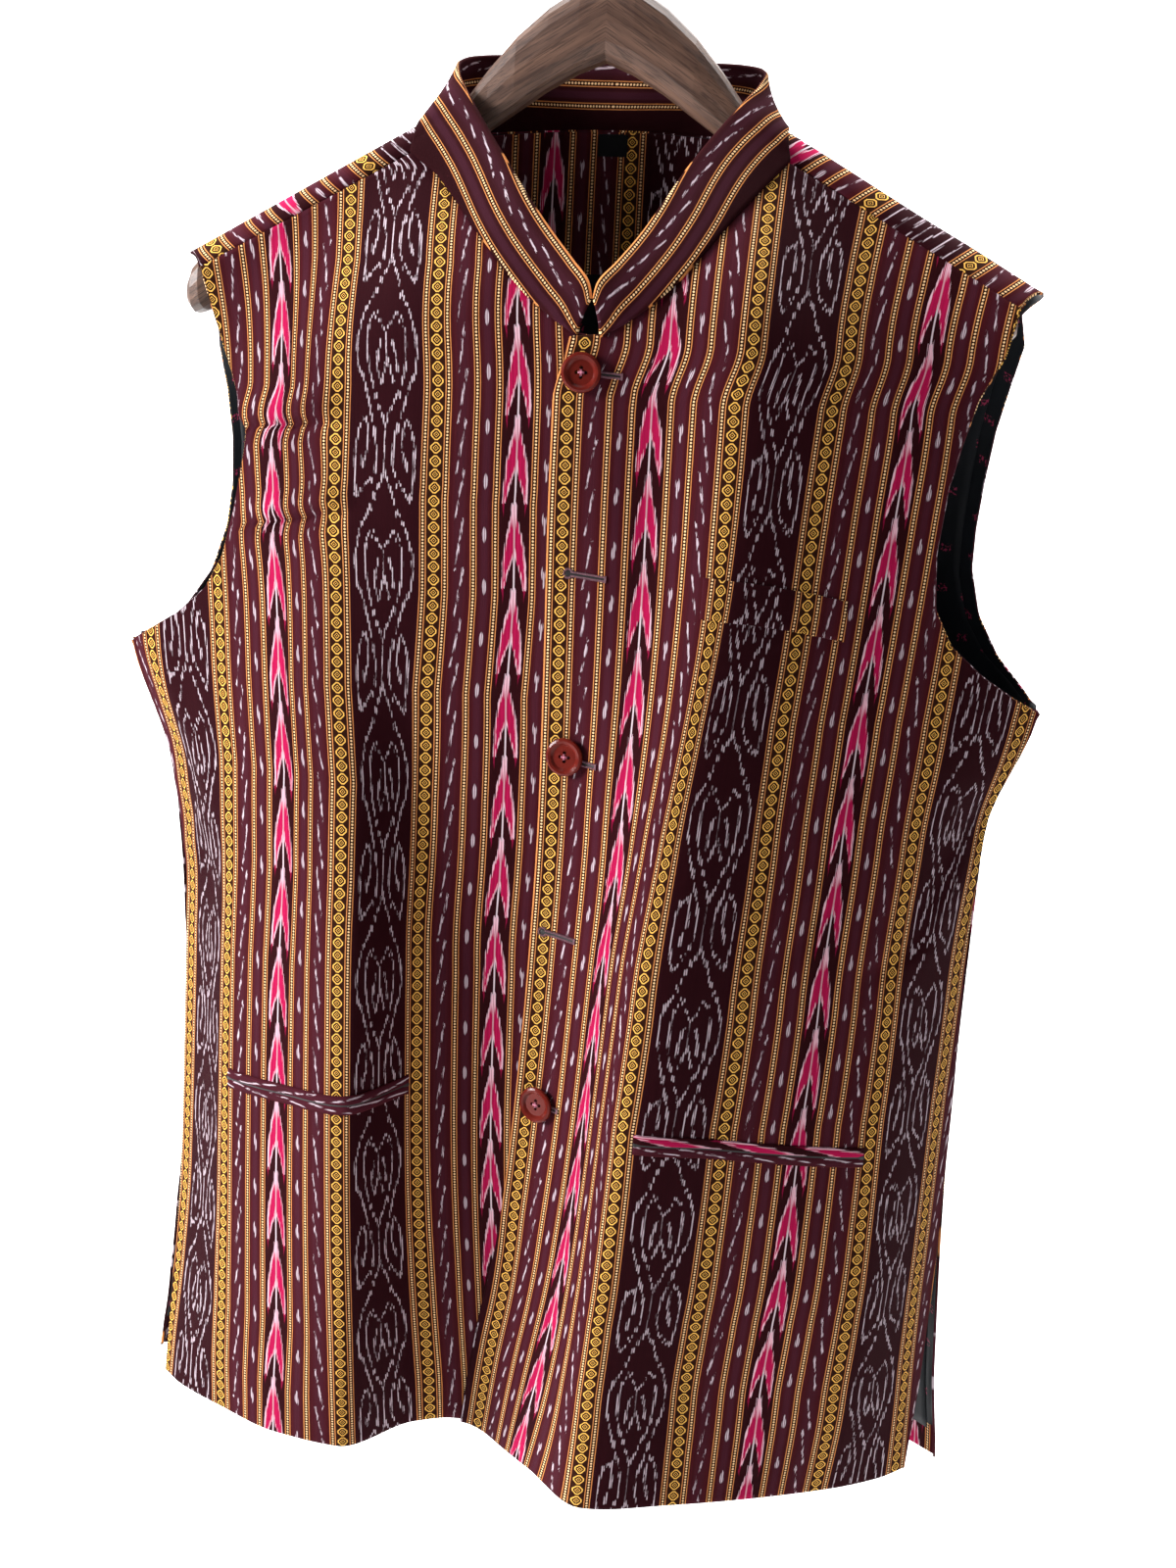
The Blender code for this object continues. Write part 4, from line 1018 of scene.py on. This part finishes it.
# Stitches
# Buttonholes are worked round a slit with close stitches, wider at the eye, and the buttons are sewn
# on with crossed threads. Each stitch is a short round thread that dips into the cloth at both ends.
thread = mottled("plum_thread", (0.05, 0.012, 0.02), (0.30, 0.13, 0.17), 900, Roughness=0.6)
pink_thread = mottled("pink_thread", (0.35, 0.05, 0.11), (0.75, 0.28, 0.38), 900, Roughness=0.6)


def stitches(name, runs, radius, finish):
    """Short threads, each run given by its points in millimetres, in one piece."""
    shape = bmesh.new()
    for run in runs:
        run = [Vector(point) for point in run]
        rings = []
        for k, point in enumerate(run):
            ahead_of = (run[min(k + 1, len(run) - 1)] - run[max(k - 1, 0)]).normalized()
            aside = ahead_of.orthogonal().normalized()
            third = ahead_of.cross(aside)
            size = radius * (0.45 if k in (0, len(run) - 1) else 1)
            centre = point - Vector((0, 0, SHOULDER_DROP))
            turns = [j * math.pi / 3 for j in range(6)]
            ways = [aside * math.cos(turn) + third * math.sin(turn) for turn in turns]
            rings.append([shape.verts.new((centre + way * size) * 0.001) for way in ways])
        for low, high in zip(rings, rings[1:]):
            for j in range(6):
                shape.faces.new((low[j], low[(j + 1) % 6], high[(j + 1) % 6], high[j]))
        shape.faces.new(rings[0][::-1])
        shape.faces.new(rings[-1])
    bmesh.ops.recalc_face_normals(shape, faces=shape.faces)
    mesh = bpy.data.meshes.new(name)
    shape.to_mesh(mesh)
    shape.free()
    mesh.shade_smooth()
    mesh.materials.append(finish)
    piece = bpy.data.objects.new(name, mesh)
    bpy.context.scene.collection.objects.link(piece)
    return piece


def left_face(x, z, lift):
    """A point on the left front, lifted square to it."""
    span = np.array([[x - 1, x, x + 1]] * 3)
    tall = np.array([[z - 1] * 3, [z] * 3, [z + 1] * 3])
    return Vector(on_front(span, tall, 1, np.full((3, 3), lift))[1, 1])


def buttonhole(name, x0, z0, x1, z1):
    """An eye at x0 and a slit to x1, with stitches across its rim and a bar at the end."""
    runs = []
    along = Vector((x1 - x0, z1 - z0)).normalized()
    aside = Vector((-along.y, along.x))
    length = math.hypot(x1 - x0, z1 - z0)
    outline = []
    for k in range(19):
        turn = math.radians(40 + 280 * k / 18)
        outline.append(((1.7 * math.cos(turn) + 1.4, 1.7 * math.sin(turn)), (math.cos(turn), math.sin(turn))))
    for k in range(int(length / 0.55)):
        reach = 3 + k * 0.55
        if reach < length - 0.6:
            outline += [((reach, 0.45), (0, 1)), ((reach, -0.45), (0, -1))]
    for (px, pz), (nx, nz) in outline:
        runs.append([(px + nx * reach, pz + nz * reach, lift)
                     for reach, lift in ((-0.15, 0.05), (0.2, 0.5), (0.8, 0.5), (1.25, 0.05))])
    for k in range(3):
        runs.append([(length - 0.3 * k, reach, lift)
                     for reach, lift in ((-1.8, 0.05), (-1.1, 0.65), (1.1, 0.65), (1.8, 0.05))])
    for run in runs:
        for k, (reach, beside, lift) in enumerate(run):
            at = Vector((x0, z0)) + along * reach + aside * beside
            run[k] = left_face(at.x, at.y, lift)
    return hand_over(stitches(name, runs, 0.24, thread))


for name, x0, z0, x1, z1 in (("buttonhole_top", 5, -48.7, 26, -50),
                             ("buttonhole_upper", 3.4, -148.7, 24.5, -150.4),
                             ("buttonhole_middle", 4.5, -244.5, 26, -246),
                             ("buttonhole_lower", -0.2, -339.9, 20, -341.2),
                             ("buttonhole_bottom", 1, -437, 15.5, -438)):
    trims[1].append(buttonhole(name, x0, z0, x1, z1))
    along_slit = [(lerp(x0, x1, k), lerp(z0, z1, k)) for k in (0, 0.3, 0.6, 0.97)]
    # Painted shade: a near-black strip along the slit, widest at the eye, where the cut lies in shade.
    gape = 0.55 + smooth(1 - np.abs(np.linspace(-1.4, 19, 34)) / 2.2)
    slit_shade_strip = strip_on_front(name + "_slit", 1, along_slit, -gape, gape, 0.32, 0, painted_slit_shade, (0, 1), 0, 34)
    trims[1].append(hand_over(slit_shade_strip))


# Buttons
# Turned from glossy red-brown resin with a raised rim and four holes, sewn on with pink thread.
resin = mottled("resin", (0.075, 0.007, 0.005), (0.170, 0.017, 0.011), 120, 3,
                Roughness=0.16, Specular_IOR_Level=0.16)


def set_finish(node, finish):
    slots = bpy.data.objects[node].data.materials
    slots.clear()
    slots.append(finish)


def sew_on(node):
    """Crossed threads between the holes of a button, found from the button's own shape."""
    spots = np.array([v.co for v in bpy.data.objects[node].data.vertices]) * 1000
    spots[:, 2] += SHOULDER_DROP
    middle = (spots.max(axis=0) + spots.min(axis=0)) / 2
    axes = np.linalg.svd(spots - spots.mean(axis=0), full_matrices=False)[2]
    out = Vector(axes[2] if axes[2][1] < 0 else -axes[2])
    across = Vector((1, 0, 0))
    across = (across - out * across.dot(out)).normalized()
    upward = out.cross(across)
    floor_of_dish = Vector(middle) + out * 0.45
    runs = []
    for one, other in ((across, upward), (upward, across)):
        for shift in (-0.28, 0.28):
            start = floor_of_dish + other * shift
            runs.append([start + one * reach + out * lift for reach, lift in (
                (-1.7, -1.4), (-1.4, 0.1), (0, 0.5), (1.4, 0.1), (1.7, -1.4))])
    return hand_over(stitches(node + "_thread", runs, 0.3, pink_thread))


for node in ("button_top", "button_middle", "button_bottom"):
    set_finish(node, resin)
    trims[1] += [bpy.data.objects[node], sew_on(node)]


# Hanger
# A contoured bar of dark walnut, sanded round and varnished, with a bright wire hook in its top.
walnut, walnut_shader = new_material("walnut", Roughness=0.5, Coat_Weight=0.08, Coat_Roughness=0.3)
x, y, z = parts_of(own_place())
lift = z + abs(x) * 0.62
rings = cloud((abs(x) * 0.012, y * 0.16, lift * 0.16), detail=4)
pores = cloud((abs(x) * 0.06, y * 1.3, lift * 1.3), detail=3)
wood = dye((0.060, 0.026, 0.016), (0.165, 0.085, 0.055), rings.over(0.5, 0.35))
feed(walnut_shader.inputs["Base Color"], dye(wood, (0.030, 0.011, 0.007), pores.over(0.56, 0.1) * 0.7))
raise_surface(walnut_shader, pores, 0.0003, 0.4)
set_finish("hanger_bar", walnut)

steel, steel_shader = new_material("hook_wire", Metallic=1)
drawn = cloud(own_place(), 90)
feed(steel_shader.inputs["Base Color"], dye((0.52, 0.51, 0.49), (0.68, 0.67, 0.65), drawn))
feed(steel_shader.inputs["Roughness"], drawn * 0.15 + 0.18)
set_finish("hanger_hook", steel)


# Floor and light
# A plain pale floor that sweeps up behind, with broad soft lamps at the upper left and front.
sweep = ((-3, -1.16), (2.6, -1.16), (3.2, -1.08), (3.7, -0.8), (4, -0.3), (4.1, 0.4), (4.1, 4))
bpy.ops.mesh.primitive_grid_add(x_subdivisions=1, y_subdivisions=len(sweep) - 1, size=12)
floor = bpy.context.object
floor.name = "floor"
for vertex in floor.data.vertices:
    vertex.co.yz = sweep[vertex.index // 2]
floor.data.shade_smooth()
floor.data.materials.append(new_material("paper", Base_Color=(0.92, 0.92, 0.92), Roughness=0.9)[0])

for lamp_name, spot, aim, size, power in (
        ("key", (-2.35, -0.95, 0.3), (0, 0, -0.45), 0.9, 128),
        ("fill", (1.4, -2, 0.3), (0, 0, -0.45), 1.8, 1.5),
        ("top", (0, -0.1, 1.6), (0, 0, -0.4), 1.4, 8),
        ("sweep_light", (0, 1.2, 2.2), (0, 3.8, -0.6), 3, 420)):
    lamp = bpy.data.lights.new(lamp_name, "AREA")
    lamp.size = size
    lamp.energy = power
    holder = bpy.data.objects.new(lamp_name, lamp)
    holder.location = spot
    holder.rotation_mode = "QUATERNION"
    holder.rotation_quaternion = (Vector(aim) - Vector(spot)).to_track_quat("-Z", "Y")
    bpy.context.scene.collection.objects.link(holder)

world = bpy.data.worlds.new("studio")
bpy.context.scene.world = world
world.use_nodes = True
world.node_tree.nodes["Background"].inputs[0].default_value = (1, 1, 1, 1)
world.node_tree.nodes["Background"].inputs[1].default_value = 0.09
